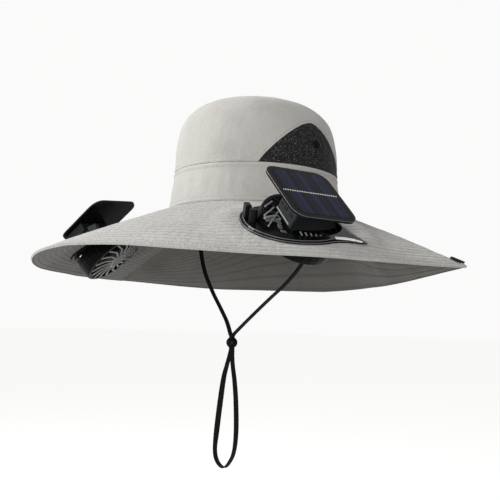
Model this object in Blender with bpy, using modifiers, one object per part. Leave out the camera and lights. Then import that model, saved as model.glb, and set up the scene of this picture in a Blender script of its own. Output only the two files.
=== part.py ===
# Wide-brimmed sun hat with two solar fan units in its brim.
# Units are metres, +Z is up, the front is -Y and the wearer's left is +X.
# The origin is the centre of the head opening, at the seam of crown and brim.
# Angles round the hat are degrees from the front, positive toward +X.

import math

import bmesh
import bpy
from mathutils import Matrix, Vector

MM = 0.001

# ---------------------------------------------------------------- cloth hat
CROWN_HALF_LENGTH = 96.8 * MM  # half the head opening, front to back
CROWN_HALF_WIDTH = 91.9 * MM  # half the head opening, side to side
CROWN_WALL = 2.0 * MM
UPPER_SEAM_Z = 40.2 * MM  # seam between band and crown
GAP = 0.3 * MM  # gap between neighbours that touch

# Sections of the crown: height, and size as a share of the head opening.
CROWN_SECTIONS = [
    {"z": 0.0, "scale": 1.000},
    {"z": 20.0, "scale": 0.972},
    {"z": 40.2, "scale": 0.949},
    {"z": 60.0, "scale": 0.944},
    {"z": 80.0, "scale": 0.917},
    {"z": 96.0, "scale": 0.868},
    {"z": 107.0, "scale": 0.776},
    {"z": 115.5, "scale": 0.636},
    {"z": 120.5, "scale": 0.470},
    {"z": 123.0, "scale": 0.270},
    {"z": 124.0, "scale": 0.060},
]

# Vent window in each side of the crown.
WINDOW_MIDDLE_ANGLE = 87.0
WINDOW_HALF_ANGLE = 41.0
WINDOW_APEX_Z = 88.5 * MM
WINDOW_ROUNDNESS = 1.6

BRIM_WALL = 2.2 * MM
BRIM_DROOP = 0.12  # how much the brim curls down toward its edge
CORNER_ANGLE = 91.5  # where the pointed side corner lies

# Outline of the brim, front half then back half, the same on both sides.
BRIM_FRONT = [
    {"angle": 0.0, "radius": 236.8, "z": -54.4},
    {"angle": 15.0, "radius": 236.6, "z": -56.5},
    {"angle": 30.0, "radius": 235.8, "z": -60.9},
    {"angle": 45.0, "radius": 234.9, "z": -64.1},
    {"angle": 60.0, "radius": 234.5, "z": -65.3},
    {"angle": 75.0, "radius": 236.3, "z": -65.9},
    {"angle": 84.0, "radius": 241.5, "z": -66.1},
    {"angle": 91.5, "radius": 252.0, "z": -65.6},
]
BRIM_BACK = [
    {"angle": 91.5, "radius": 252.0, "z": -65.6},
    {"angle": 97.5, "radius": 213.0, "z": -69.5},
    {"angle": 105.0, "radius": 180.5, "z": -73.0},
    {"angle": 120.0, "radius": 144.7, "z": -76.5},
    {"angle": 140.0, "radius": 128.2, "z": -77.2},
    {"angle": 160.0, "radius": 125.1, "z": -78.0},
    {"angle": 180.0, "radius": 125.0, "z": -79.0},
]

# ---------------------------------------------------------------- fan units
FAN_RADIUS = {1: 167.0 * MM, -1: 171.0 * MM}  # hat's axis to fan's axis, left and right
FAN_ANGLE = 57.0
FLAT_RADIUS = 58.0 * MM  # the cloth is held flat this far round a fan
FLAT_BLEND = 24.0 * MM
BRIM_HOLE_RADIUS = 41.7 * MM

FLANGE_HALF_WIDTH = 47.0 * MM
FLANGE_HALF_LENGTH = 54.3 * MM
FLANGE_SHIFT_BACK = -5.3 * MM
FLANGE_SHIFT_OUT = 1.5 * MM
FLANGE_BULGE = 0.065  # fuller toward the front and the brim's edge
FLANGE_TAIL_BACK = 49.5 * MM
FLANGE_TAIL_OUT = 46.0 * MM
FLANGE_RIM_TOP = 1.5 * MM
FLANGE_TOP = 2.6 * MM
FLANGE_HOLE_RADIUS = 39.5 * MM
COLLAR_RADIUS = 41.2 * MM  # the flange's neck through the cloth
COLLAR_BOTTOM = -6.5 * MM
CLAMP_RADIUS = 46.0 * MM  # the clamp ring under the cloth, on that neck
CLAMP_TOP = -2.8 * MM
CLAMP_BOTTOM = -4.6 * MM

# Each fan head is a short barrel that is set at its own angle in the flange,
# like a ball in a ring. Heights are over the barrel's centre.
HEADS = {
    1: {"out": -0.3, "back": 0.3, "up": -4.0, "tip": 20.9, "lean": -12.8},
    -1: {"out": 0.3, "back": 0.0, "up": -9.5, "tip": 17.1, "lean": 0.0},
}
BALL_RADIUS = 38.7 * MM
DUCT_INNER_RADIUS = 36.0 * MM
DUCT_HALF_HEIGHT = 8.0 * MM
GUARD_RIM_RADIUS = 36.6 * MM
GUARD_RIM_DEPTH = 1.4 * MM
GUARD_BULGE = 4.4 * MM
GUARD_HUB_RADIUS = 10.5 * MM
GUARD_RIBS = 18
GUARD_RIB_WIDTH = 2.0 * MM

ROTOR_RADIUS = 33.9 * MM
ROTOR_HUB_RADIUS = 12.0 * MM
ROTOR_TOP = 4.6 * MM
ROTOR_BOTTOM = -6.5 * MM
ROTOR_BLADES = 7
BLADE_PITCH = 32.0

CAGE_RING_INNER = 34.0 * MM
CAGE_RING_OUTER = 37.3 * MM
CAGE_LOW = 8.3 * MM
CAGE_TOP = 10.0 * MM
CAGE_SPOKES = 14
CAGE_DISC_RADIUS = 14.0 * MM
PEDESTAL_BACK = (-21.0 * MM, 8.0 * MM)
PEDESTAL_DOWN = (6.0 * MM, 27.0 * MM)

# ---------------------------------------------------------------- solar panel
# Centre of the top face as on the left side, the way that it faces round
# the hat, its slope from level and its turn in its own plane, in degrees.
PANELS = {
    1: {"x": 159.9, "y": -96.5, "z": -6.8, "faces": 77.5, "tilt": 44.5, "turn": 0.0},
    -1: {"x": 155.1, "y": -99.6, "z": -4.9, "faces": 68.2, "tilt": 33.8, "turn": 12.6},
}
PANEL_ALONG = 68.0 * MM
PANEL_DOWN = 72.0 * MM
PANEL_THICK = 2.6 * MM
PANEL_CORNER = 12.0 * MM
PANEL_BORDER = 4.6 * MM
CELL_THICK = 0.9 * MM

BOX_FRONT = -29.0 * MM  # along the panel, from its middle
BOX_BACK = 13.0 * MM
BOX_INNER = 2.5 * MM  # down the slope
BOX_OUTER = 31.0 * MM
BOX_TOP = -2.9 * MM
BOX_BOTTOM = -19.0 * MM
BOX_FOOT = 5.4 * MM  # height over the brim where the box is cut off

SWITCH_BACK = (-48.4 * MM, -42.7 * MM)
SWITCH_OUT = (-11.5 * MM, 0.0 * MM)
SWITCH_TOP = 15.0 * MM
DRUM_AT = (7.5 * MM, -42.7 * MM)  # outward and toward the back
DRUM_RADIUS = 3.6 * MM
DRUM_TOP = 14.2 * MM

# ---------------------------------------------------------------- chin strap
STRAP_WIDTH = 6.0 * MM
STRAP_THICK = 1.2 * MM
SLIDER_AT = Vector((-2.2, -28.7, -140.6)) * MM
SLIDER_HALF_HEIGHT = 6.4 * MM
STRAP_PLIES = 1.0 * MM  # half the distance between the two plies in the slider

# The run of one side of the strap, from the slider up to its anchor.
# The left side is the wearer's left.
STRAP_LEFT = [
    {"x": 2.2, "y": -26.8, "z": -129.0},
    {"x": 22.0, "y": -23.3, "z": -111.6},
    {"x": 41.0, "y": -19.8, "z": -95.4},
    {"x": 62.5, "y": -15.5, "z": -77.2},
    {"x": 78.5, "y": -11.6, "z": -58.5},
    {"x": 87.0, "y": -7.5, "z": -38.0},
    {"x": 88.0, "y": -3.0, "z": -18.0},
    {"x": 86.6, "y": 0.0, "z": -1.0},
    {"x": 85.7, "y": 0.0, "z": 7.6},
]
STRAP_RIGHT = [
    {"x": -6.6, "y": -26.9, "z": -131.5},
    {"x": -15.0, "y": -24.4, "z": -119.0},
    {"x": -29.0, "y": -21.2, "z": -104.0},
    {"x": -47.5, "y": -17.2, "z": -85.0},
    {"x": -66.0, "y": -12.7, "z": -62.0},
    {"x": -79.0, "y": -8.0, "z": -37.0},
    {"x": -85.0, "y": -3.5, "z": -17.0},
    {"x": -86.6, "y": 0.0, "z": -1.0},
    {"x": -85.7, "y": 0.0, "z": 7.6},
]
# The lower loop, from the slider down its right side, round and up.
STRAP_LOOP = [
    {"x": -3.3, "z": -148.5},
    {"x": -5.6, "z": -156.0},
    {"x": -9.0, "z": -165.5},
    {"x": -13.2, "z": -179.0},
    {"x": -17.4, "z": -204.0},
    {"x": -21.4, "z": -233.0},
    {"x": -23.4, "z": -255.0},
    {"x": -19.0, "z": -266.8},
    {"x": -8.7, "z": -271.5},
    {"x": 0.8, "z": -262.8},
    {"x": 6.0, "z": -251.0},
    {"x": 7.8, "z": -231.0},
    {"x": 6.4, "z": -203.0},
    {"x": 3.7, "z": -182.0},
    {"x": 0.4, "z": -166.0},
    {"x": -0.9, "z": -156.0},
    {"x": -1.1, "z": -148.5},
]


# ================================================================ helpers
def clear_scene():
    for obj in list(bpy.data.objects):
        bpy.data.objects.remove(obj, do_unlink=True)


def new_collection(name):
    col = bpy.data.collections.new(name)
    bpy.context.scene.collection.children.link(col)
    return col


def material(name, colour, roughness, metallic=0.0):
    mat = bpy.data.materials.new(name)
    mat.use_nodes = True
    shader = mat.node_tree.nodes["Principled BSDF"]
    shader.inputs["Base Color"].default_value = (*colour, 1.0)
    shader.inputs["Roughness"].default_value = roughness
    shader.inputs["Metallic"].default_value = metallic
    mat.diffuse_color = (*colour, 1.0)
    return mat


def curve_through(xs, ys, x):
    """A smooth curve through a short table, with no overshoot."""
    n = len(xs)
    if x <= xs[0]:
        return ys[0]
    if x >= xs[-1]:
        return ys[-1]
    h = [xs[i + 1] - xs[i] for i in range(n - 1)]
    d = [(ys[i + 1] - ys[i]) / h[i] for i in range(n - 1)]
    m = [d[0]] + [0.0] * (n - 2) + [d[-1]]
    for i in range(1, n - 1):
        if d[i - 1] * d[i] > 0:
            w1, w2 = 2 * h[i] + h[i - 1], h[i] + 2 * h[i - 1]
            m[i] = (w1 + w2) / (w1 / d[i - 1] + w2 / d[i])
    i = max(k for k in range(n - 1) if xs[k] <= x)
    t = (x - xs[i]) / h[i]
    return (
        (2 * t**3 - 3 * t**2 + 1) * ys[i]
        + (t**3 - 2 * t**2 + t) * h[i] * m[i]
        + (-2 * t**3 + 3 * t**2) * ys[i + 1]
        + (t**3 - t**2) * h[i] * m[i + 1]
    )


def column(table, name):
    return [row[name] for row in table]


def smoothstep(x):
    x = min(1.0, max(0.0, x))
    return x * x * (3 - 2 * x)


def add_object(name, mesh, collection, mat=None):
    obj = bpy.data.objects.new(name, mesh)
    collection.objects.link(obj)
    if mat is not None:
        mesh.materials.append(mat)
    return obj


def finish_mesh(bm, name, merge=0.0):
    if merge > 0:
        bmesh.ops.remove_doubles(bm, verts=bm.verts, dist=merge)
    bmesh.ops.recalc_face_normals(bm, faces=bm.faces)
    mesh = bpy.data.meshes.new(name)
    bm.to_mesh(mesh)
    bm.free()
    return mesh


def grid_mesh(name, rows, closed=True, pole=None):
    """An open surface through rows of points; pole closes the last row."""
    bm = bmesh.new()
    rings = [[bm.verts.new(p) for p in row] for row in rows]
    n = len(rings[0])
    for a, b in zip(rings, rings[1:]):
        for i in range(n if closed else n - 1):
            j = (i + 1) % n
            bm.faces.new((a[i], a[j], b[j], b[i]))
    if pole is not None:
        top = bm.verts.new(pole)
        for i in range(n):
            bm.faces.new((rings[-1][i], rings[-1][(i + 1) % n], top))
    mesh = bpy.data.meshes.new(name)
    bm.to_mesh(mesh)
    bm.free()
    return mesh


def loft_solid(name, rings, cyclic=False):
    """A closed solid through rings of equal counts, capped at both ends."""
    bm = bmesh.new()
    loops = [[bm.verts.new(p) for p in ring] for ring in rings]
    n = len(loops[0])
    pairs = list(zip(loops, loops[1:]))
    if cyclic:
        pairs.append((loops[-1], loops[0]))
    for a, b in pairs:
        for i in range(n):
            j = (i + 1) % n
            bm.faces.new((a[i], a[j], b[j], b[i]))
    if not cyclic:
        bm.faces.new(list(reversed(loops[0])))
        bm.faces.new(loops[-1])
    return finish_mesh(bm, name)


def outline_plate(name, outline, low, high):
    """A plate: a flat outline as a filled 2D curve, made a closed mesh."""
    data = bpy.data.curves.new(name, "CURVE")
    data.dimensions = "2D"
    data.fill_mode = "BOTH"
    data.extrude = (high - low) / 2
    spline = data.splines.new("POLY")
    spline.points.add(len(outline) - 1)
    for point, (x, y) in zip(spline.points, outline):
        point.co = (x, y, 0.0, 1.0)
    spline.use_cyclic_u = True
    curve = bpy.data.objects.new(name + "_outline", data)
    bpy.context.scene.collection.objects.link(curve)
    bpy.context.view_layer.update()
    evaluated = curve.evaluated_get(bpy.context.evaluated_depsgraph_get())
    mesh = bpy.data.meshes.new_from_object(evaluated)
    bpy.data.objects.remove(curve, do_unlink=True)
    bm = bmesh.new()
    bm.from_mesh(mesh)
    bmesh.ops.remove_doubles(bm, verts=bm.verts, dist=0.00001)
    bmesh.ops.translate(bm, verts=bm.verts, vec=(0, 0, (low + high) / 2))
    bmesh.ops.recalc_face_normals(bm, faces=bm.faces)
    bm.to_mesh(mesh)
    bm.free()
    mesh.name = name
    return mesh


def box_mesh(name, low, high):
    bm = bmesh.new()
    bmesh.ops.create_cube(bm, size=1.0)
    size = [b - a for a, b in zip(low, high)]
    middle = [(a + b) / 2 for a, b in zip(low, high)]
    bmesh.ops.scale(bm, vec=size, verts=bm.verts)
    bmesh.ops.translate(bm, vec=middle, verts=bm.verts)
    return finish_mesh(bm, name)


def cylinder_mesh(name, radius, low, high, sides=48, top_radius=None):
    bm = bmesh.new()
    bmesh.ops.create_cone(
        bm,
        cap_ends=True,
        segments=sides,
        radius1=radius,
        radius2=radius if top_radius is None else top_radius,
        depth=high - low,
    )
    bmesh.ops.translate(bm, vec=(0, 0, (low + high) / 2), verts=bm.verts)
    return finish_mesh(bm, name)


def turned_mesh(name, profile, sides=48):
    """A ring of closed section: profile rows are (radius, height)."""
    rings = []
    for k in range(sides):
        a = 2 * math.pi * k / sides
        rings.append([(r * math.cos(a), r * math.sin(a), z) for r, z in profile])
    return loft_solid(name, rings, cyclic=True)


def join_meshes(name, meshes):
    bm = bmesh.new()
    for mesh in meshes:
        bm.from_mesh(mesh)
        bpy.data.meshes.remove(mesh)
    return finish_mesh(bm, name)


def move_mesh(mesh, matrix):
    mesh.transform(matrix)
    return mesh


def add_boolean(obj, cutter, operation):
    mod = obj.modifiers.new(operation.lower(), "BOOLEAN")
    mod.operation = operation
    mod.object = cutter
    mod.solver = "EXACT"
    return mod


def apply_modifiers(obj):
    """Bake the modifiers of a working object into its own mesh."""
    bpy.context.view_layer.update()
    evaluated = obj.evaluated_get(bpy.context.evaluated_depsgraph_get())
    mesh = bpy.data.meshes.new_from_object(evaluated)
    old = obj.data
    obj.modifiers.clear()
    obj.data = mesh
    if old.users == 0:
        bpy.data.meshes.remove(old)
    return obj


def keep_largest(mesh):
    """Drop loose bits that a cut leaves; the biggest piece stays."""
    bm = bmesh.new()
    bm.from_mesh(mesh)
    left, islands = set(bm.verts), []
    while left:
        island, front = set(), [next(iter(left))]
        while front:
            v = front.pop()
            if v in island:
                continue
            island.add(v)
            front.extend(e.other_vert(v) for e in v.link_edges)
        left -= island
        islands.append(island)
    islands.sort(key=len)
    for island in islands[:-1]:
        bmesh.ops.delete(bm, geom=list(island), context="VERTS")
    bm.to_mesh(mesh)
    bm.free()


def add_cutter(name, mesh, matrix=None):
    cutter = add_object(name, mesh, CUTTERS)
    cutter.hide_render = True
    cutter.display_type = "WIRE"
    if matrix is not None:
        cutter.matrix_world = matrix
    return cutter


def smooth_by_angle(obj, degrees):
    obj.data.shade_smooth()
    obj.data.set_sharp_from_angle(angle=math.radians(degrees))


def rounded_rectangle(half_x, half_y, radius, steps=4):
    points = []
    for cx, cy, start in (
        (half_x - radius, half_y - radius, 0),
        (-half_x + radius, half_y - radius, 90),
        (-half_x + radius, -half_y + radius, 180),
        (half_x - radius, -half_y + radius, 270),
    ):
        for k in range(steps + 1):
            a = math.radians(start + 90 * k / steps)
            points.append((cx + radius * math.cos(a), cy + radius * math.sin(a)))
    return points


# ================================================================ hat shape
def crown_scale(z):
    return curve_through(
        column(CROWN_SECTIONS, "z"), column(CROWN_SECTIONS, "scale"), z / MM
    )


def crown_point(angle, z, inset=0.0):
    s, a = crown_scale(z), math.radians(angle)
    return Vector(
        (
            (CROWN_HALF_WIDTH * s - inset) * math.sin(a),
            -(CROWN_HALF_LENGTH * s - inset) * math.cos(a),
            z,
        )
    )


def base_radius(angle):
    a = math.radians(angle)
    return 1 / math.sqrt(
        (math.sin(a) / CROWN_HALF_WIDTH) ** 2 + (math.cos(a) / CROWN_HALF_LENGTH) ** 2
    )


def brim_edge(angle):
    """(radius, z) of the brim's edge."""
    a = abs((angle + 180) % 360 - 180)
    table = BRIM_FRONT if a <= CORNER_ANGLE else BRIM_BACK
    xs = column(table, "angle")
    return (
        curve_through(xs, column(table, "radius"), a) * MM,
        curve_through(xs, column(table, "z"), a) * MM,
    )


def plain_brim_point(angle, share):
    """A point of the brim's top, before the fans flatten it."""
    a, base = math.radians(angle), base_radius(angle)
    if share < 0:
        radius, z = base + share, 0.0  # the seam allowance under the crown
    else:
        edge, edge_z = brim_edge(angle)
        radius = base + (edge - base) * share
        z = edge_z * (share + BRIM_DROOP * (share * share - share))
    return Vector((radius * math.sin(a), -radius * math.cos(a), z))


def fan_frame(side):
    """Frame of a fan unit on the brim: X outward, Z square to the brim.

    Y is toward the back on the left unit and toward the front on the right.
    """
    a = math.radians(FAN_ANGLE)
    base, edge = base_radius(FAN_ANGLE), brim_edge(FAN_ANGLE)[0]
    share = (FAN_RADIUS[side] - base) / (edge - base)
    here = plain_brim_point(FAN_ANGLE, share)
    below = plain_brim_point(FAN_ANGLE, share + 0.01)
    slope = math.atan2(here.z - below.z, (edge - base) * 0.01)
    out = Vector((math.sin(a), -math.cos(a), 0))
    back = Vector((math.cos(a), math.sin(a), 0))
    x_axis = out * math.cos(slope) - Vector((0, 0, 1)) * math.sin(slope)
    z_axis = out * math.sin(slope) + Vector((0, 0, 1)) * math.cos(slope)
    return placed(here, x_axis, back, z_axis, side)


def head_frame(side):
    """Frame of a fan head: Z along the fan's shaft, origin at the ball's middle."""
    row = HEADS[side]
    middle = Vector((row["out"], side * row["back"], row["up"])) * MM
    tip = Matrix.Rotation(math.radians(row["tip"]), 4, "Y")
    lean = Matrix.Rotation(math.radians(side * row["lean"]), 4, "X")
    return fan_frame(side) @ Matrix.Translation(middle) @ tip @ lean


def panel_frame(side):
    """Frame of a solar panel: X down its slope, Z square to its face."""
    row = PANELS[side]
    a, tilt = math.radians(row["faces"]), math.radians(row["tilt"])
    turn = math.radians(row["turn"])
    out = Vector((math.sin(a), -math.cos(a), 0))
    back = Vector((math.cos(a), math.sin(a), 0))
    slope = out * math.cos(tilt) - Vector((0, 0, 1)) * math.sin(tilt)
    z_axis = out * math.sin(tilt) + Vector((0, 0, 1)) * math.cos(tilt)
    x_axis = slope * math.cos(turn) + back * math.sin(turn)
    y_axis = back * math.cos(turn) - slope * math.sin(turn)
    centre = Vector((row["x"], row["y"], row["z"])) * MM
    return placed(centre, x_axis, y_axis, z_axis, side)


def placed(point, x_axis, y_axis, z_axis, side):
    flip = Matrix.Diagonal((side, 1, 1))
    x_axis, y_axis, z_axis = flip @ x_axis, flip @ y_axis * side, flip @ z_axis
    point = flip @ point
    return Matrix(
        [
            (x_axis[i], y_axis[i], z_axis[i], point[i]) for i in range(3)
        ]
        + [(0, 0, 0, 1)]
    )


def brim_point(angle, share):
    """A point of the brim's top, flat where a fan unit clamps it."""
    p = plain_brim_point(angle, share)
    for inverse, normal in FAN_PLANES:
        q = inverse @ p
        near = math.hypot(q.x, q.y)
        weight = smoothstep(1 - (near - FLAT_RADIUS) / FLAT_BLEND)
        if weight > 0 and abs(q.z) < 0.03:
            p = p - normal * (q.z * weight)
    return p


def angle_steps():
    """Angles round the brim, closer together at the pointed corners."""
    half = [6.0 * k for k in range(14)]
    half += [82.5, 87.0, CORNER_ANGLE, 94.0, 97.5, 101.5, 106.5]
    half += [113.0, 121.0, 130.0, 141.0, 154.0, 167.0, 180.0]
    return half[:-1] + [360.0 - a for a in reversed(half[1:])]


# ================================================================ pieces
def build_crown():
    heights = [UPPER_SEAM_Z + GAP / 2] + [
        z * MM for z in (58, 74, 87, 96, 104, 110.5, 116, 120, 122.6)
    ]
    angles = [360.0 * k / 44 for k in range(44)]
    rows = [[crown_point(a, z) for a in angles] for z in heights]
    mesh = grid_mesh("crown", rows, pole=Vector((0, 0, 124.0 * MM)))
    crown = add_object("crown", mesh, HAT, CLOTH)
    solid = crown.modifiers.new("wall", "SOLIDIFY")
    solid.thickness, solid.offset = CROWN_WALL, -1.0
    solid.use_even_offset = True
    for side, word in ((1, "left"), (-1, "right")):
        add_boolean(crown, window_cutter("window_" + word, side, 0.0), "DIFFERENCE")
    smooth_by_angle(crown, 50)
    return crown


def window_cutter(name, side, shrink):
    """A prism through one side of the crown, with the window's outline."""
    outline = []
    steps = 20
    low = UPPER_SEAM_Z - 4 * MM if shrink == 0 else UPPER_SEAM_Z + GAP + 0.3 * MM
    for k in range(steps + 1):
        u = -1 + 2 * k / steps
        z = UPPER_SEAM_Z + (WINDOW_APEX_Z - UPPER_SEAM_Z) * (
            1 - abs(u) ** WINDOW_ROUNDNESS
        )
        angle = WINDOW_MIDDLE_ANGLE + u * WINDOW_HALF_ANGLE
        y = -CROWN_HALF_LENGTH * crown_scale(z) * math.cos(math.radians(angle))
        outline.append((y, z))
    if shrink > 0:
        kept = []
        for k in range(1, len(outline) - 1):
            a, b = Vector(outline[k - 1]), Vector(outline[k + 1])
            along = (b - a).normalized()
            inward = Vector((along.y, -along.x))
            p = Vector(outline[k]) + inward * shrink
            if p.y > low:
                kept.append((p.x, p.y))
        first = (kept[0][0] - (kept[0][1] - low) * 0.4, low)
        last = (kept[-1][0] + (kept[-1][1] - low) * 0.4, low)
        outline = [first] + kept + [last]
    else:
        outline = [(outline[0][0], low)] + outline[:] + [(outline[-1][0], low)]
    rings = [[(side * x, y, z) for y, z in outline] for x in (30 * MM, 120 * MM)]
    return add_cutter(name, loft_solid(name, rings))


def build_vent_mesh(side, word):
    heights = [UPPER_SEAM_Z + z * MM for z in (-1, 18, 33, 43, 51)]
    angles = [360.0 * k / 44 for k in range(44)]
    rows = [[crown_point(a, z, 0.5 * MM) for a in angles] for z in heights]
    obj = add_object(
        "vent_mesh_" + word, grid_mesh("vent_mesh_" + word, rows), HAT, NET
    )
    solid = obj.modifiers.new("wall", "SOLIDIFY")
    solid.thickness, solid.offset = 1.0 * MM, -1.0
    add_boolean(obj, window_cutter("net_" + word, side, 0.35 * MM), "INTERSECT")
    smooth_by_angle(obj, 50)
    return obj


def build_band():
    heights = [GAP, 20 * MM, UPPER_SEAM_Z - GAP / 2]
    angles = [360.0 * k / 44 for k in range(44)]
    rows = [[crown_point(a, z) for a in angles] for z in heights]
    band = add_object("crown_band", grid_mesh("crown_band", rows), HAT, CLOTH)
    solid = band.modifiers.new("wall", "SOLIDIFY")
    solid.thickness, solid.offset = CROWN_WALL, -1.0
    smooth_by_angle(band, 50)
    return band


def build_brim():
    shares = [-2.2 * MM, 0.0, 0.14, 0.30, 0.46, 0.62, 0.78, 0.91, 1.0]
    rows = [[brim_point(a, s) for a in angle_steps()] for s in reversed(shares)]
    brim = add_object("brim", grid_mesh("brim", rows), HAT, CLOTH)
    solid = brim.modifiers.new("wall", "SOLIDIFY")
    solid.thickness, solid.offset = BRIM_WALL, -1.0
    for side, word in ((1, "left"), (-1, "right")):
        cutter = add_cutter(
            "brim_hole_" + word,
            cylinder_mesh("brim_hole_" + word, BRIM_HOLE_RADIUS, -0.03, 0.03, 32),
            fan_frame(side),
        )
        add_boolean(brim, cutter, "DIFFERENCE")
    smooth_by_angle(brim, 40)
    return brim


def build_snap(side, word):
    z = 66 * MM
    at = crown_point(90, z, 0.2 * MM)
    axis = Vector((1, 0, 0.1)).normalized()
    turn = Vector((0, 0, 1)).rotation_difference(Vector((side * axis.x, 0, axis.z)))
    mesh = turned_cap("snap_button_" + word, 4.6 * MM, 2.0 * MM)
    obj = add_object("snap_button_" + word, mesh, HAT, PLASTIC)
    obj.matrix_world = (
        Matrix.Translation((side * (at.x + 0.3 * MM), 0, z)) @ turn.to_matrix().to_4x4()
    )
    smooth_by_angle(obj, 40)
    return obj


def turned_cap(name, radius, height, sides=14):
    """A low round button with a rounded top."""
    rows = ((1.0, 0.0), (1.0, 0.35), (0.86, 0.75), (0.55, 1.0))
    rings = [
        [
            (
                radius * r * math.cos(2 * math.pi * k / sides),
                radius * r * math.sin(2 * math.pi * k / sides),
                height * h,
            )
            for k in range(sides)
        ]
        for r, h in rows
    ]
    return loft_solid(name, rings)


def build_tab(side, word):
    """The black tab sewn on top of a pointed corner, along the edge."""
    tip = brim_point(CORNER_ANGLE, 1.0)
    inner = brim_point(CORNER_ANGLE - 0.5, 0.90)
    front = brim_point(CORNER_ANGLE - 3.0, 0.955)
    along = (inner - tip).normalized()
    across = (front - tip).cross(along).normalized()
    if across.z < 0:
        across = -across
    sideways = across.cross(along).normalized()
    rings = []
    for far, width in ((3.5, 1.4), (5.0, 2.4), (15.0, 2.7), (16.5, 1.8)):
        centre = tip + along * far * MM + across * 0.9 * MM
        rings.append(
            [
                centre + sideways * (width * MM * a) + across * (h * MM)
                for a, h in ((-1, 0), (1, 0), (1, 1.0), (0.7, 1.4), (-0.7, 1.4), (-1, 1.0))
            ]
        )
    flip = Matrix.Diagonal((side, 1, 1))
    rings = [[flip @ p for p in ring] for ring in rings]
    return add_object(
        "brim_tab_" + word, loft_solid("brim_tab_" + word, rings), HAT, STRAP
    )


def build_anchor(side, word):
    """A plain sewn tab inside the crown base that the strap hangs from."""
    x = crown_point(90, 20 * MM, CROWN_WALL + 0.6 * MM).x
    mesh = box_mesh(
        "strap_anchor_" + word,
        (-2.0 * MM, -6.5 * MM, 8.0 * MM),
        (0.0, 6.5 * MM, 20.0 * MM),
    )
    obj = add_object("strap_anchor_" + word, mesh, HAT, STRAP)
    if side < 0:
        move_mesh(mesh, Matrix.Translation((2.0 * MM, 0, 0)))
    obj.location = (side * x, 0, 0)
    bevel = obj.modifiers.new("edge", "BEVEL")
    bevel.width, bevel.segments = 0.5 * MM, 1
    return obj


# ---------------------------------------------------------------- chin strap
def smooth_run(points, count):
    """Points at even spacing on a smooth curve through a short table."""
    dense, last = [], len(points) - 1
    for i in range(last):
        p0, p1 = points[max(i - 1, 0)], points[i]
        p2, p3 = points[i + 1], points[min(i + 2, last)]
        for k in range(16):
            t = k / 16
            dense.append(
                0.5
                * (
                    2 * p1
                    + (p2 - p0) * t
                    + (2 * p0 - 5 * p1 + 4 * p2 - p3) * t * t
                    + (3 * p1 - p0 - 3 * p2 + p3) * t**3
                )
            )
    dense.append(points[-1])
    lengths = [0.0]
    for a, b in zip(dense, dense[1:]):
        lengths.append(lengths[-1] + (b - a).length)
    out, i = [], 0
    for k in range(count):
        want = lengths[-1] * k / (count - 1)
        while i < len(dense) - 2 and lengths[i + 1] < want:
            i += 1
        t = (want - lengths[i]) / max(lengths[i + 1] - lengths[i], 1e-9)
        out.append(dense[i].lerp(dense[i + 1], min(1.0, max(0.0, t))))
    return out


def strap_route():
    """The strap's centreline: right anchor, slider, loop, slider, left anchor."""

    def row(r):
        return Vector((r["x"], r.get("y", SLIDER_AT.y / MM), r["z"])) * MM

    ply = Vector((STRAP_PLIES, 0, 0))
    top = SLIDER_AT + Vector((0, 0, SLIDER_HALF_HEIGHT))
    low = SLIDER_AT - Vector((0, 0, SLIDER_HALF_HEIGHT))
    points = [row(r) for r in reversed(STRAP_RIGHT)]
    points += [top - ply, SLIDER_AT - ply, low - ply]
    points += [row(r) for r in STRAP_LOOP]
    points += [low + ply, SLIDER_AT + ply, top + ply]
    points += [row(r) for r in STRAP_LEFT]
    return points


def strap_sides(route):
    """The direction across the strap at each point of its route."""
    sides = []
    middle = SLIDER_AT.z
    for i, p in enumerate(route):
        tangent = (route[min(i + 1, len(route) - 1)] - route[max(i - 1, 0)]).normalized()
        front = Vector((0, 1, 0))
        if p.z < middle:  # the loop's lower bend lies flat to the front
            twist = smoothstep((middle - p.z - 15 * MM) / (60 * MM))
        else:
            twist = 0.0
        across = front - tangent * front.dot(tangent)
        across.normalize()
        face = tangent.cross(across).normalized()
        turn = math.radians(38) * twist * (1 - smoothstep((-p.z - 0.225) / 0.03))
        if p.x > SLIDER_AT.x:
            turn = -turn * 0.25
        sides.append(across * math.cos(turn) + face * math.sin(turn))
    return sides


def build_strap():
    route = smooth_run(strap_route(), 84)
    sides = strap_sides(route)
    half, thick, rings = STRAP_WIDTH / 2, STRAP_THICK / 2, []
    for i, (p, across) in enumerate(zip(route, sides)):
        tangent = (route[min(i + 1, len(route) - 1)] - route[max(i - 1, 0)]).normalized()
        across = (across - tangent * across.dot(tangent)).normalized()
        face = tangent.cross(across)
        rings.append(
            [
                p + across * (half * a) + face * (thick * b)
                for a, b in ((-1, -1), (1, -1), (1, 1), (-1, 1))
            ]
        )
    return add_object("chin_strap", loft_solid("chin_strap", rings), HAT, STRAP)


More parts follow.
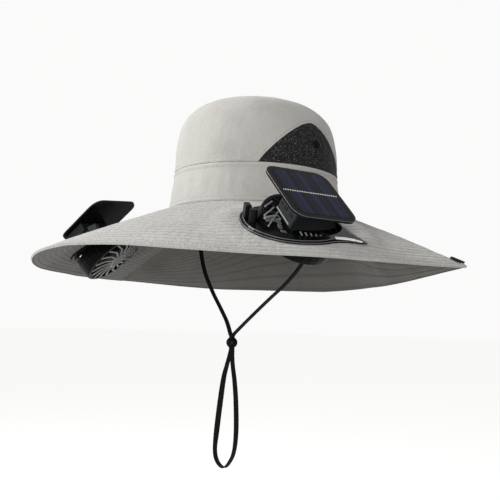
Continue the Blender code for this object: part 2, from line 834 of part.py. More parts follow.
def build_slider():
    """The two-lobed bead, with a slot for both plies of the strap."""
    obj = add_object(
        "strap_slider",
        cylinder_mesh("strap_slider", 1.0, -1.0, 1.0, 24),
        HAT,
        PLASTIC,
    )
    sides, rings = 20, []
    for k in range(6):
        t = math.radians(-76 + 152 * k / 5)
        ring = []
        for j in range(sides):
            a = 2 * math.pi * j / sides
            lobe = 1 + 0.16 * math.cos(2 * a)
            waist = 1 - 0.10 * abs(math.cos(a)) ** 6
            ring.append(
                (
                    6.4 * MM * lobe * waist * math.cos(t) * math.cos(a) * 0.98,
                    5.6 * MM * lobe * math.cos(t) * math.sin(a),
                    SLIDER_HALF_HEIGHT * math.sin(t) / math.sin(math.radians(76)) * 0.92,
                )
            )
        rings.append(ring)
    old = obj.data
    obj.data = loft_solid("strap_slider_body", rings)
    obj.data.materials.append(PLASTIC)
    bpy.data.meshes.remove(old)
    obj.location = SLIDER_AT
    slot = box_mesh(
        "slider_slot",
        (-STRAP_PLIES - STRAP_THICK / 2 - 1.3 * MM, -STRAP_WIDTH / 2 - 2 * GAP, -0.02),
        (STRAP_PLIES + STRAP_THICK / 2 + 1.3 * MM, STRAP_WIDTH / 2 + 2 * GAP, 0.02),
    )
    cutter = add_cutter("slider_slot", slot, Matrix.Translation(SLIDER_AT))
    add_boolean(obj, cutter, "DIFFERENCE")
    smooth_by_angle(obj, 40)
    return obj


# ---------------------------------------------------------------- fan unit
def flange_outline(side, inset=0.0):
    """Teardrop outline as (outward, along) pairs in the fan's frame."""
    half_b, half_o = FLANGE_HALF_WIDTH - inset, FLANGE_HALF_LENGTH - inset
    points = []
    for k in range(31):  # round end, from the back side over the crown side
        a = math.radians(0 - 300 * k / 30)
        full = 1 + FLANGE_BULGE * max(0.0, -math.sin(2 * a)) * (math.sin(a) > 0)
        points.append(
            (
                FLANGE_SHIFT_OUT + half_o * full * math.sin(a),
                FLANGE_SHIFT_BACK + half_b * full * math.cos(a),
            )
        )
    tip = Vector((FLANGE_TAIL_OUT - inset * 0.6, FLANGE_TAIL_BACK - inset * 2.2))
    start = Vector(points[-1])
    for k in range(1, 5):  # hollow curve out to the tail
        t = k / 4
        bend = Vector((43.0 * MM - inset, 31.0 * MM - inset))
        p = start * (1 - t) ** 2 + bend * 2 * t * (1 - t) + (tip + Vector((1.0 * MM, 0))) * t * t
        points.append((p.x, p.y))
    end = Vector(points[0])
    for k in range(0, 4):  # and back up beside it
        t = k / 4
        bend = Vector((24.0 * MM, 43.5 * MM - inset))
        p = (tip - Vector((1.0 * MM, 0))) * (1 - t) ** 2 + bend * 2 * t * (1 - t) + end * t * t
        points.append((p.x, p.y))
    return [(x, side * y) for x, y in points]


def build_flange(side, word, frame):
    name = "fan_flange_" + word
    levels = (
        (0.0, GAP),
        (0.4 * MM, FLANGE_RIM_TOP),
        (2.4 * MM, FLANGE_RIM_TOP),
        (3.0 * MM, FLANGE_TOP),
    )
    rings = [[(x, y, z) for x, y in flange_outline(side, inset)] for inset, z in levels]
    obj = add_object(name, loft_solid(name, rings), HAT, PLASTIC)
    obj.matrix_world = frame
    inner = FLANGE_HOLE_RADIUS - 0.6 * MM
    neck = turned_mesh(
        name + "_neck",
        [
            (inner, COLLAR_BOTTOM),
            (inner, 1.8 * MM),
            (COLLAR_RADIUS, 1.8 * MM),
            (COLLAR_RADIUS, CLAMP_TOP),
            (CLAMP_RADIUS, CLAMP_TOP),
            (CLAMP_RADIUS, CLAMP_BOTTOM + 0.6 * MM),
            (CLAMP_RADIUS - 0.8 * MM, CLAMP_BOTTOM),
            (COLLAR_RADIUS, CLAMP_BOTTOM),
            (COLLAR_RADIUS, COLLAR_BOTTOM),
        ][::-1],
        32,
    )
    add_boolean(obj, add_cutter(name + "_neck", neck, frame), "UNION")
    cutter = add_cutter(
        "flange_hole_" + word,
        cylinder_mesh("flange_hole_" + word, FLANGE_HOLE_RADIUS, -0.02, 0.02, 32),
        frame,
    )
    add_boolean(obj, cutter, "DIFFERENCE")
    smooth_by_angle(obj, 40)
    return obj


def build_duct(side, word, head):
    """The barrel round the rotor; its outside is a zone of a ball."""
    name = "fan_duct_" + word
    heights = [DUCT_HALF_HEIGHT * k for k in (1.0, 0.5, 0.0, -0.5, -1.0)]
    profile = [(DUCT_INNER_RADIUS, z) for z in (-DUCT_HALF_HEIGHT, DUCT_HALF_HEIGHT)]
    profile += [(math.sqrt(BALL_RADIUS**2 - z**2), z) for z in heights]
    obj = add_object(name, turned_mesh(name, profile[::-1], 32), HAT, PLASTIC)
    obj.matrix_world = head
    smooth_by_angle(obj, 40)
    return obj


def build_guard(side, word, frame):
    """Grille under the brim: rim, curved radial ribs and a round hub."""
    name = "fan_guard_" + word
    guard_top = -DUCT_HALF_HEIGHT - GAP
    low = guard_top - GUARD_RIM_DEPTH / 2
    rim = turned_mesh(
        name + "_rim",
        [
            (GUARD_RIM_RADIUS, guard_top),
            (GUARD_RIM_RADIUS - 2.6 * MM, guard_top),
            (GUARD_RIM_RADIUS - 2.6 * MM, guard_top - GUARD_RIM_DEPTH),
            (GUARD_RIM_RADIUS - 0.8 * MM, guard_top - GUARD_RIM_DEPTH),
        ],
        32,
    )
    ribs = []
    for k in range(GUARD_RIBS):
        rings = []
        for j in range(3):
            t = j / 2
            r = GUARD_HUB_RADIUS - 1.5 * MM + (
                GUARD_RIM_RADIUS - 1.4 * MM - GUARD_HUB_RADIUS + 1.5 * MM
            ) * t
            a = 2 * math.pi * k / GUARD_RIBS + side * math.radians(20) * t * t
            sag = low - GUARD_BULGE * (1 - t * t) * 0.75
            out = Vector((math.cos(a), math.sin(a), 0))
            along = Vector((-math.sin(a), math.cos(a), 0))
            half = GUARD_RIB_WIDTH / 2 * (0.75 + 0.35 * t)
            rings.append(
                [
                    out * r + along * (half * m) + Vector((0, 0, sag + h))
                    for m, h in (
                        (-1, 0.3 * MM),
                        (1, 0.3 * MM),
                        (1, -0.8 * MM),
                        (-1, -0.8 * MM),
                    )
                ]
            )
        ribs.append(loft_solid(name + "_rib", rings))
    hub_rings = []
    for r, z in ((1.0, 0.6), (1.0, -1.2), (0.8, -2.1)):
        hub_rings.append(
            [
                (
                    GUARD_HUB_RADIUS * r * math.cos(2 * math.pi * k / 20),
                    GUARD_HUB_RADIUS * r * math.sin(2 * math.pi * k / 20),
                    low - GUARD_BULGE * 0.75 + z * MM,
                )
                for k in range(20)
            ]
        )
    obj = add_object(name, rim, HAT, PLASTIC)
    hub = add_cutter(name + "_hub", loft_solid(name + "_hub", hub_rings))
    fan_ribs = add_cutter(name + "_ribs", join_meshes(name + "_ribs", ribs))
    add_boolean(obj, fan_ribs, "UNION")
    add_boolean(obj, hub, "UNION")
    apply_modifiers(obj)
    for extra in (hub, fan_ribs):
        bpy.data.objects.remove(extra, do_unlink=True)
    obj.data.materials.clear()
    obj.data.materials.append(PLASTIC)
    obj.matrix_world = frame
    smooth_by_angle(obj, 35)
    return obj


def build_rotor(side, word, frame):
    name = "fan_rotor_" + word
    blades = []
    for k in range(ROTOR_BLADES):
        rings = []
        for j in range(3):
            t = j / 2
            r = ROTOR_HUB_RADIUS - 1.5 * MM + (ROTOR_RADIUS - ROTOR_HUB_RADIUS + 1.5 * MM) * t
            a = 2 * math.pi * k / ROTOR_BLADES + side * math.radians(14) * t
            out = Vector((math.cos(a), math.sin(a), 0))
            along = Vector((-math.sin(a), math.cos(a), 0))
            pitch = math.radians(BLADE_PITCH * (1 - 0.35 * t)) * side
            chord = (7.6 + 5.5 * t) * MM
            flat = along * math.cos(pitch) + Vector((0, 0, 1)) * math.sin(pitch)
            thick = flat.cross(out) * (0.55 * MM)
            middle = out * r + Vector((0, 0, (ROTOR_TOP + ROTOR_BOTTOM) / 2))
            rings.append(
                [
                    middle - flat * (chord / 2) - thick,
                    middle + flat * (chord / 2) - thick,
                    middle + flat * (chord / 2) + thick,
                    middle - flat * (chord / 2) + thick,
                ]
            )
        blades.append(loft_solid(name + "_blade", rings))
    obj = add_object(
        name,
        cylinder_mesh(name, ROTOR_HUB_RADIUS, ROTOR_BOTTOM, ROTOR_TOP, 20),
        HAT,
        ROTOR,
    )
    cutter = add_cutter(name + "_blades", join_meshes(name + "_blades", blades))
    add_boolean(obj, cutter, "UNION")
    apply_modifiers(obj)
    bpy.data.objects.remove(cutter, do_unlink=True)
    obj.data.materials.clear()
    obj.data.materials.append(ROTOR)
    obj.matrix_world = frame
    smooth_by_angle(obj, 35)
    return obj


def build_cage(side, word, head, panel):
    """Top of the fan head: ring, spokes, motor disc and the box's pedestal."""
    name = "fan_cage_" + word
    ring = turned_mesh(
        name + "_ring",
        [
            (CAGE_RING_OUTER, CAGE_LOW),
            (CAGE_RING_OUTER, CAGE_TOP - 0.5 * MM),
            (CAGE_RING_OUTER - 0.6 * MM, CAGE_TOP),
            (CAGE_RING_INNER, CAGE_TOP),
            (CAGE_RING_INNER, CAGE_LOW),
        ][::-1],
        32,
    )
    spokes = []
    for k in range(CAGE_SPOKES):
        rings = []
        for r, twist in ((12.0, 0.0), (23.0, 7.0), (34.6, 18.0)):
            a = 2 * math.pi * k / CAGE_SPOKES + side * math.radians(twist)
            out = Vector((math.cos(a), math.sin(a), 0))
            along = Vector((-math.sin(a), math.cos(a), 0))
            rings.append(
                [
                    out * (r * MM) + along * (0.9 * m * MM) + Vector((0, 0, z))
                    for m, z in (
                        (-1, CAGE_TOP - 0.3 * MM),
                        (1, CAGE_TOP - 0.3 * MM),
                        (1, CAGE_LOW + 0.2 * MM),
                        (-1, CAGE_LOW + 0.2 * MM),
                    )
                ]
            )
        spokes.append(loft_solid(name + "_spoke", rings))
    disc = loft_solid(
        name + "_disc",
        [
            [
                (
                    CAGE_DISC_RADIUS * r * math.cos(2 * math.pi * k / 20),
                    CAGE_DISC_RADIUS * r * math.sin(2 * math.pi * k / 20),
                    z,
                )
                for k in range(20)
            ]
            for r, z in (
                (0.72, ROTOR_TOP + 1.0 * MM),
                (0.72, CAGE_LOW - 0.5 * MM),
                (1.0, CAGE_LOW),
                (1.0, CAGE_TOP),
            )
        ],
    )
    low_y, high_y = sorted((side * PEDESTAL_BACK[0], side * PEDESTAL_BACK[1]))
    pedestal = add_object(
        name + "_pedestal",
        box_mesh(
            name + "_pedestal",
            (PEDESTAL_DOWN[0], low_y, BOX_BOTTOM - 30 * MM),
            (PEDESTAL_DOWN[1], high_y, BOX_BOTTOM - GAP),
        ),
        CUTTERS,
    )
    pedestal.matrix_world = head.inverted() @ panel
    below = add_cutter(
        name + "_below", box_mesh(name + "_below", (-0.1, -0.1, -0.1), (0.1, 0.1, CAGE_LOW + 0.4 * MM))
    )
    add_boolean(pedestal, below, "DIFFERENCE")
    obj = add_object(name, ring, HAT, PLASTIC)
    extras = [
        add_cutter(name + "_spokes", join_meshes(name + "_spokes", spokes)),
        add_cutter(name + "_disc", disc),
        pedestal,
    ]
    for extra in extras:
        add_boolean(obj, extra, "UNION")
    apply_modifiers(obj)
    for extra in extras + [below]:
        bpy.data.objects.remove(extra, do_unlink=True)
    obj.data.materials.clear()
    obj.data.materials.append(PLASTIC)
    obj.matrix_world = head
    smooth_by_angle(obj, 35)
    return obj


def build_box(side, word, frame, panel):
    """Battery box under the lower half of the panel."""
    name = "battery_box_" + word
    low_y, high_y = sorted((side * BOX_FRONT, side * BOX_BACK))
    obj = add_object(
        name,
        box_mesh(name, (BOX_INNER, low_y, BOX_BOTTOM), (BOX_OUTER, high_y, BOX_TOP)),
        HAT,
        PLASTIC,
    )
    obj.matrix_world = panel
    bevel = obj.modifiers.new("edge", "BEVEL")
    bevel.width, bevel.segments = 1.2 * MM, 2
    foot = box_mesh(name + "_foot", (-0.08, -0.08, -0.06), (0.08, 0.08, BOX_FOOT))
    foot = add_cutter(name + "_foot", foot, frame)
    add_boolean(obj, foot, "DIFFERENCE")
    smooth_by_angle(obj, 35)
    return obj


def build_panel(side, word, panel):
    outline = rounded_rectangle(PANEL_DOWN / 2, PANEL_ALONG / 2, PANEL_CORNER)
    tray = add_object(
        "solar_tray_" + word,
        outline_plate("solar_tray_" + word, outline, -PANEL_THICK, 0.0),
        HAT,
        PLASTIC,
    )
    tray.matrix_world = panel
    recess = outline_plate(
        "recess_" + word,
        rounded_rectangle(
            PANEL_DOWN / 2 - PANEL_BORDER,
            PANEL_ALONG / 2 - PANEL_BORDER,
            PANEL_CORNER - PANEL_BORDER + 0.6 * MM,
        ),
        -CELL_THICK - GAP,
        0.01,
    )
    add_boolean(tray, add_cutter("recess_" + word, recess, panel), "DIFFERENCE")
    smooth_by_angle(tray, 35)
    cell = add_object(
        "solar_cell_" + word,
        outline_plate(
            "solar_cell_" + word,
            rounded_rectangle(
                PANEL_DOWN / 2 - PANEL_BORDER - GAP,
                PANEL_ALONG / 2 - PANEL_BORDER - GAP,
                PANEL_CORNER - PANEL_BORDER + 0.3 * MM,
            ),
            -CELL_THICK,
            0.1 * MM,
        ),
        HAT,
        CELL,
    )
    cell.matrix_world = panel
    return tray, cell


def build_switch(side, word, frame):
    """The upright block with the switch and charge port, and the round post."""
    name = "switch_block_" + word
    y0, y1 = sorted((side * SWITCH_BACK[0], side * SWITCH_BACK[1]))
    low = FLANGE_TOP + GAP
    obj = add_object(
        name, box_mesh(name, (SWITCH_OUT[0], y0, low), (SWITCH_OUT[1], y1, SWITCH_TOP)), HAT, PLASTIC
    )
    obj.matrix_world = frame
    bevel = obj.modifiers.new("edge", "BEVEL")
    bevel.width, bevel.segments = 1.0 * MM, 2
    drum = cylinder_mesh(name + "_drum", DRUM_RADIUS, low, DRUM_TOP, 16)
    move_mesh(drum, Matrix.Translation((DRUM_AT[0], side * DRUM_AT[1], 0)))
    web = box_mesh(
        name + "_web",
        (SWITCH_OUT[1] - 2 * MM, min(side * -44.6, side * -43.2) * MM, low),
        (DRUM_AT[0], max(side * -44.6, side * -43.2) * MM, DRUM_TOP - 3 * MM),
    )
    for extra in (drum, web):
        add_boolean(obj, add_cutter(extra.name, extra, frame), "UNION")
    smooth_by_angle(obj, 35)
    return obj


# ================================================================ build
clear_scene()
HAT = new_collection("solar_fan_hat")
CUTTERS = new_collection("cutters")
CLOTH = material("cloth", (0.52, 0.49, 0.46), 0.85)
NET = material("net", (0.02, 0.02, 0.022), 0.8)
PLASTIC = material("black_plastic", (0.02, 0.02, 0.022), 0.4)
ROTOR = material("rotor_plastic", (0.05, 0.05, 0.055), 0.45)
CELL = material("solar_cell", (0.01, 0.015, 0.05), 0.25)
STRAP = material("strap", (0.012, 0.012, 0.013), 0.75)

FAN_PLANES = []
FAN_PLANES = [
    (fan_frame(s).inverted(), (fan_frame(s).to_3x3() @ Vector((0, 0, 1))).copy())
    for s in (1, -1)
]

build_crown()
build_band()
build_brim()
build_strap()
build_slider()
build_tab(1, "left")
for side, word in ((1, "left"), (-1, "right")):
    build_vent_mesh(side, word)
    build_snap(side, word)
    build_anchor(side, word)
    fan, head, panel = fan_frame(side), head_frame(side), panel_frame(side)
    build_flange(side, word, fan)
    build_duct(side, word, head)
    build_guard(side, word, head)
    build_rotor(side, word, head)
    build_cage(side, word, head, panel)
    build_box(side, word, fan, panel)
    build_panel(side, word, panel)
    build_switch(side, word, fan)
bpy.context.view_layer.update()
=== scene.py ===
import math

import bmesh
import bpy
from mathutils import Matrix, Vector, noise


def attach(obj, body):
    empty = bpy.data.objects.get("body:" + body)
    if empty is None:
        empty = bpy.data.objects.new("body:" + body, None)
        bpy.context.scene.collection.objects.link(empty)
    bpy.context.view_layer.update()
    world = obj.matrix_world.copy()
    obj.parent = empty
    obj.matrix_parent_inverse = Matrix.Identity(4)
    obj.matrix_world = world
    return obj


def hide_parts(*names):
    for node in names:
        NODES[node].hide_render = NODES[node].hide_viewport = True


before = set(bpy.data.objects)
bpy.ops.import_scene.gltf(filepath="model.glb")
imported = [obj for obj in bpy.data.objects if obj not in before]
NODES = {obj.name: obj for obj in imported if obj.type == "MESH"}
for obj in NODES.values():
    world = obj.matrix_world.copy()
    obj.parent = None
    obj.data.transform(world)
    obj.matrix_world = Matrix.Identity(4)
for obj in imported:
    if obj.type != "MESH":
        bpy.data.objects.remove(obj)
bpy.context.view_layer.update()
MM = 0.001


# ================================================================ camera
def set_camera():
    focal, far, low = 752.72, 825.05, -121.75
    pitch, azimuth, yaw, roll = (math.radians(v) for v in (5.697, 44.028, -0.338, 1.477))
    place = Vector((far * math.sin(azimuth), -far * math.cos(azimuth), low)) * MM
    ahead = Vector((-math.sin(azimuth), math.cos(azimuth), 0))
    right = Vector((math.cos(azimuth), math.sin(azimuth), 0))
    up = Vector((0, 0, 1))
    ahead, right = (
        ahead * math.cos(yaw) + right * math.sin(yaw),
        right * math.cos(yaw) - ahead * math.sin(yaw),
    )
    ahead, up = (
        ahead * math.cos(pitch) + up * math.sin(pitch),
        up * math.cos(pitch) - ahead * math.sin(pitch),
    )
    right, up = (
        right * math.cos(roll) + up * math.sin(roll),
        up * math.cos(roll) - right * math.sin(roll),
    )
    data = bpy.data.cameras.new("camera")
    data.sensor_width = 36
    data.lens = focal / 500 * 36
    data.clip_start = 0.01
    cam = bpy.data.objects.new("camera", data)
    bpy.context.scene.collection.objects.link(cam)
    rows = [(right[i], up[i], -ahead[i], place[i]) for i in range(3)]
    cam.matrix_world = Matrix(rows + [(0, 0, 0, 1)])
    bpy.context.scene.camera = cam


set_camera()


# ================================================================ helpers
def link(obj):
    bpy.context.scene.collection.objects.link(obj)
    return obj


def new_object(name, mesh, *mats):
    for m in mats:
        mesh.materials.append(m)
    return link(bpy.data.objects.new(name, mesh))


def smoothstep(x):
    x = min(1.0, max(0.0, x))
    return x * x * (3 - 2 * x)


def column(table, name):
    return [row[name] for row in table]


def curve_through(xs, ys, x):
    """A smooth curve through a short table, with no overshoot."""
    n = len(xs)
    if x <= xs[0]:
        return ys[0]
    if x >= xs[-1]:
        return ys[-1]
    h = [xs[i + 1] - xs[i] for i in range(n - 1)]
    d = [(ys[i + 1] - ys[i]) / h[i] for i in range(n - 1)]
    m = [d[0]] + [0.0] * (n - 2) + [d[-1]]
    for i in range(1, n - 1):
        if d[i - 1] * d[i] > 0:
            w1, w2 = 2 * h[i] + h[i - 1], h[i] + 2 * h[i - 1]
            m[i] = (w1 + w2) / (w1 / d[i - 1] + w2 / d[i])
    i = max(k for k in range(n - 1) if xs[k] <= x)
    t = (x - xs[i]) / h[i]
    return (
        (2 * t**3 - 3 * t**2 + 1) * ys[i]
        + (t**3 - 2 * t**2 + t) * h[i] * m[i]
        + (-2 * t**3 + 3 * t**2) * ys[i + 1]
        + (t**3 - t**2) * h[i] * m[i + 1]
    )


def grid_mesh(name, rows, closed=True, pole=None):
    """An open surface through rows of points; pole closes the last row."""
    bm = bmesh.new()
    rings = [[bm.verts.new(p) for p in row] for row in rows]
    n = len(rings[0])
    for a, b in zip(rings, rings[1:]):
        for i in range(n if closed else n - 1):
            j = (i + 1) % n
            bm.faces.new((a[i], a[j], b[j], b[i]))
    if pole is not None:
        top = bm.verts.new(pole)
        for i in range(n):
            bm.faces.new((rings[-1][i], rings[-1][(i + 1) % n], top))
    mesh = bpy.data.meshes.new(name)
    bm.to_mesh(mesh)
    bm.free()
    return mesh


def add_rings(bm, rings, caps=True):
    loops = [[bm.verts.new(p) for p in ring] for ring in rings]
    n = len(loops[0])
    for a, b in zip(loops, loops[1:]):
        for i in range(n):
            j = (i + 1) % n
            bm.faces.new((a[i], a[j], b[j], b[i]))
    if caps:
        bm.faces.new(list(reversed(loops[0])))
        bm.faces.new(loops[-1])


def close_mesh(bm, name):
    bmesh.ops.recalc_face_normals(bm, faces=bm.faces)
    mesh = bpy.data.meshes.new(name)
    bm.to_mesh(mesh)
    bm.free()
    return mesh


def tube(bm, points, radius, sides=8, ups=None, flat=1.0, closed=False):
    """A round or oval tube along points, added to bm."""
    rings, n = [], len(points)
    for i, p in enumerate(points):
        if closed:
            tangent = points[(i + 1) % n] - points[i - 1]
        else:
            tangent = points[min(i + 1, n - 1)] - points[max(i - 1, 0)]
        tangent.normalize()
        up = ups[i] if ups else Vector((0, 0, 1))
        if abs(up.dot(tangent)) > 0.95:
            up = Vector((1, 0, 0))
        side = tangent.cross(up).normalized()
        up = side.cross(tangent).normalized()
        rings.append(
            [
                p
                + side * (radius * math.cos(2 * math.pi * k / sides))
                + up * (radius * flat * math.sin(2 * math.pi * k / sides))
                for k in range(sides)
            ]
        )
    if closed:
        rings.append(rings[0])
        loops = [[bm.verts.new(p) for p in ring] for ring in rings[:-1]]
        loops.append(loops[0])
        for a, b in zip(loops, loops[1:]):
            for i in range(sides):
                j = (i + 1) % sides
                bm.faces.new((a[i], a[j], b[j], b[i]))
    else:
        add_rings(bm, rings)


def bar(bm, a, b, width, thick, normal):
    """A straight flat bar from a to b with its wide face toward normal."""
    along = (b - a).normalized()
    side = along.cross(normal).normalized()
    face = side.cross(along).normalized()
    corners = ((-1, -1), (1, -1), (1, 1), (-1, 1))
    add_rings(
        bm,
        [
            [p + side * (width / 2 * u) + face * (thick / 2 * v) for u, v in corners]
            for p in (a, b)
        ],
    )


def stitches(name, points, normals, body, mat, length=2.4 * MM, gap=1.1 * MM, radius=0.32 * MM):
    """A row of thread stitches lying on a surface along points."""
    bm = bmesh.new()
    walked, i, want = 0.0, 0, 0.0
    marks = []
    lengths = [0.0]
    for a, b in zip(points, points[1:]):
        lengths.append(lengths[-1] + (b - a).length)

    def at(d):
        k = 0
        lo, hi = 0, len(lengths) - 1
        while hi - lo > 1:
            k = (lo + hi) // 2
            if lengths[k] <= d:
                lo = k
            else:
                hi = k
        t = (d - lengths[lo]) / max(lengths[hi] - lengths[lo], 1e-9)
        return points[lo].lerp(points[hi], t), normals[lo].lerp(normals[hi], t).normalized()

    d = 0.0
    while d + length < lengths[-1]:
        (a, na), (b, nb) = at(d), at(d + length)
        n = (na + nb).normalized()
        along = (b - a).normalized()
        side = along.cross(n).normalized()
        rings = []
        for t, w, lift in ((0.0, 0.35, -0.3), (0.2, 0.9, 0.25), (0.8, 0.9, 0.25), (1.0, 0.35, -0.3)):
            p = a.lerp(b, t) + n * (radius * lift)
            rings.append(
                [
                    p + side * (radius * w * u) + n * (radius * w * v)
                    for u, v in ((-1, 0), (-0.5, 0.8), (0.5, 0.8), (1, 0), (0.5, -0.8), (-0.5, -0.8))
                ]
            )
        add_rings(bm, rings)
        d += length + gap
    obj = new_object(name, close_mesh(bm, name), mat)
    obj.data.shade_smooth()
    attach(obj, body)
    return obj


def cylinder_cutter(name, radius, low, high, sides, matrix):
    bm = bmesh.new()
    rings = [
        [
            (radius * math.cos(2 * math.pi * k / sides), radius * math.sin(2 * math.pi * k / sides), z)
            for k in range(sides)
        ]
        for z in (low, high)
    ]
    add_rings(bm, rings)
    obj = new_object(name, close_mesh(bm, name))
    obj.matrix_world = matrix
    return obj


def cut(obj, cutters, operation="DIFFERENCE"):
    for c in cutters:
        m = obj.modifiers.new("cut", "BOOLEAN")
        m.operation, m.solver, m.object = operation, "EXACT", c


def apply_modifiers(obj):
    bpy.context.view_layer.update()
    evaluated = obj.evaluated_get(bpy.context.evaluated_depsgraph_get())
    mesh = bpy.data.meshes.new_from_object(evaluated)
    obj.modifiers.clear()
    old = obj.data
    obj.data = mesh
    bpy.data.meshes.remove(old)


# ================================================================ materials
class Nodes:
    """A short way to write a procedural material."""

    def __init__(self, name):
        self.mat = bpy.data.materials.new(name)
        self.mat.use_nodes = True
        self.tree = self.mat.node_tree
        self.shader = self.tree.nodes["Principled BSDF"]
        self.coords = self.add("ShaderNodeTexCoord").outputs["Object"]

    def add(self, kind, **inputs):
        node = self.tree.nodes.new(kind)
        for key, value in inputs.items():
            self.put(node.inputs[key.replace("_", " ")], value)
        return node

    def put(self, socket, value):
        if hasattr(value, "is_output"):
            self.tree.links.new(value, socket)
        else:
            socket.default_value = value

    def math(self, op, a, b=0.0, c=None):
        node = self.tree.nodes.new("ShaderNodeMath")
        node.operation = op
        self.put(node.inputs[0], a)
        self.put(node.inputs[1], b)
        if c is not None:
            self.put(node.inputs[2], c)
        return node.outputs[0]

    def noise(self, scale, detail=3.0, rough=0.55, vector=None):
        node = self.add("ShaderNodeTexNoise", Scale=scale, Detail=detail, Roughness=rough)
        self.put(node.inputs["Vector"], vector or self.coords)
        return node.outputs["Fac"]

    def dot(self, axis, origin):
        """Distance in metres along an axis from an origin."""
        sub = self.tree.nodes.new("ShaderNodeVectorMath")
        sub.operation = "SUBTRACT"
        self.put(sub.inputs[0], self.coords)
        sub.inputs[1].default_value = origin
        node = self.tree.nodes.new("ShaderNodeVectorMath")
        node.operation = "DOT_PRODUCT"
        self.put(node.inputs[0], sub.outputs[0])
        node.inputs[1].default_value = axis
        return node.outputs["Value"]

    def ramp(self, fac, stops):
        node = self.add("ShaderNodeValToRGB")
        self.put(node.inputs["Fac"], fac)
        ramp = node.color_ramp
        while len(ramp.elements) < len(stops):
            ramp.elements.new(0.5)
        for e, (place, colour) in zip(ramp.elements, stops):
            e.position = place
            e.color = (*colour, 1.0)
        return node.outputs["Color"]

    def mix(self, fac, a, b):
        node = self.tree.nodes.new("ShaderNodeMix")
        node.data_type = "RGBA"
        self.put(node.inputs["Factor"], fac)
        self.put(node.inputs["A"], a if hasattr(a, "is_output") else (*a, 1.0))
        self.put(node.inputs["B"], b if hasattr(b, "is_output") else (*b, 1.0))
        return node.outputs["Result"]

    def bump(self, height, strength, distance, normal=None):
        node = self.add("ShaderNodeBump", Strength=strength, Distance=distance, Height=height)
        if normal is not None:
            self.put(node.inputs["Normal"], normal)
        return node.outputs["Normal"]

    def attribute(self, name):
        node = self.tree.nodes.new("ShaderNodeAttribute")
        node.attribute_name = name
        return node.outputs["Fac"]

    def done(self, colour=None, rough=None, normal=None, **plain):
        s = self.shader.inputs
        if colour is not None:
            self.put(s["Base Color"], colour if hasattr(colour, "is_output") else (*colour, 1.0))
        if rough is not None:
            self.put(s["Roughness"], rough)
        if normal is not None:
            self.put(s["Normal"], normal)
        for key, value in plain.items():
            s[key.replace("_", " ")].default_value = value
        return self.mat


def weave(n, scale):
    """Height of a plain weave of crossing threads, about 0 to 1."""
    waves = []
    for direction in ("X", "Y", "Z"):
        w = n.add("ShaderNodeTexWave", Scale=scale, Distortion=1.2, Detail=1.0, Detail_Scale=2.0)
        w.bands_direction = direction
        n.put(w.inputs["Vector"], n.coords)
        waves.append(w.outputs["Fac"])
    return n.math("MULTIPLY", n.math("ADD", n.math("ADD", waves[0], waves[1]), waves[2]), 0.33)


def cloth_material(name, dark, light, rows=0.0, rows_strength=0.0, pucker_strength=0.28):
    n = Nodes(name)
    speckle = n.noise(620.0, 4.0, 0.7)
    broad = n.noise(26.0, 3.0)
    threads = weave(n, 260.0)
    fac = n.math("ADD", n.math("MULTIPLY", speckle, 0.55), n.math("MULTIPLY", broad, 0.45))
    colour = n.ramp(fac, [(0.30, dark), (0.72, light)])
    height = n.math("ADD", n.math("MULTIPLY", threads, 0.5), speckle)
    pucker = n.noise(190.0, 2.0, 0.5)
    normal = n.bump(pucker, pucker_strength, 0.0016)
    normal = n.bump(height, 0.35, 0.0004, normal)
    if rows:
        wave = n.math("SINE", n.math("MULTIPLY", n.attribute("from_edge"), 2 * math.pi / rows))
        line = n.math("POWER", n.math("MULTIPLY_ADD", wave, 0.5, 0.5), 5.0)
        normal = n.bump(n.math("MULTIPLY", line, -1.0), rows_strength, 0.0009, normal)
        colour = n.mix(n.math("MULTIPLY", line, 0.32 * rows_strength), colour, tuple(v * 0.55 for v in dark))
    return n.done(colour, 0.92, normal, Specular_IOR_Level=0.15, Sheen_Weight=0.12, Sheen_Roughness=0.5)


CLOTH_TOP = cloth_material("cloth_top", (0.172, 0.1665, 0.156), (0.262, 0.254, 0.238), 7.0 * MM, 0.8, 0.95)
CLOTH_CROWN = cloth_material("cloth_crown", (0.207, 0.2005, 0.188), (0.278, 0.2695, 0.253))
# The underside cloth is coloured darker than the top: painted shade for the little light that reaches under the
# brim.
CLOTH_UNDER_SHADED = cloth_material("cloth_under_shaded", (0.058, 0.054, 0.0495), (0.090, 0.0845, 0.078), 5.6 * MM, 0.6)


def thread_material(name, colour):
    n = Nodes(name)
    twist = n.noise(2200.0, 2.0)
    shade = n.mix(twist, tuple(v * 0.75 for v in colour), tuple(v * 1.15 for v in colour))
    return n.done(shade, 0.7, n.bump(twist, 0.4, 0.0002), Sheen_Weight=0.1)


THREAD = thread_material("thread_grey", (0.23, 0.225, 0.215))
# The underside thread is coloured darker: painted shade under the brim.
THREAD_UNDER_SHADED = thread_material("thread_under_shaded", (0.085, 0.078, 0.068))


def plastic_material(name, dark, light, rough, coat=0.0, spec=0.35, grain=900.0):
    n = Nodes(name)
    fine = n.noise(grain, 3.0, 0.6)
    broad = n.noise(60.0, 3.0)
    # Convex edges are lightened by pointiness: partly real edge wear, partly a painted highlight along the edges.
    edge_wear_and_highlight = n.add("ShaderNodeNewGeometry").outputs["Pointiness"]
    edge = n.math("MULTIPLY", n.math("SUBTRACT", edge_wear_and_highlight, 0.59), 6.0)
    edge = n.math("MINIMUM", n.math("MAXIMUM", edge, 0.0), 0.3)
    colour = n.mix(broad, dark, light)
    colour = n.mix(edge, colour, tuple(min(1.0, v * 3.0 + 0.014) for v in light))
    roughness = n.math("MULTIPLY_ADD", fine, 0.16, rough - 0.08)
    return n.done(colour, roughness, n.bump(fine, 0.10, 0.0002), Specular_IOR_Level=spec, Coat_Weight=coat, Coat_Roughness=0.12)


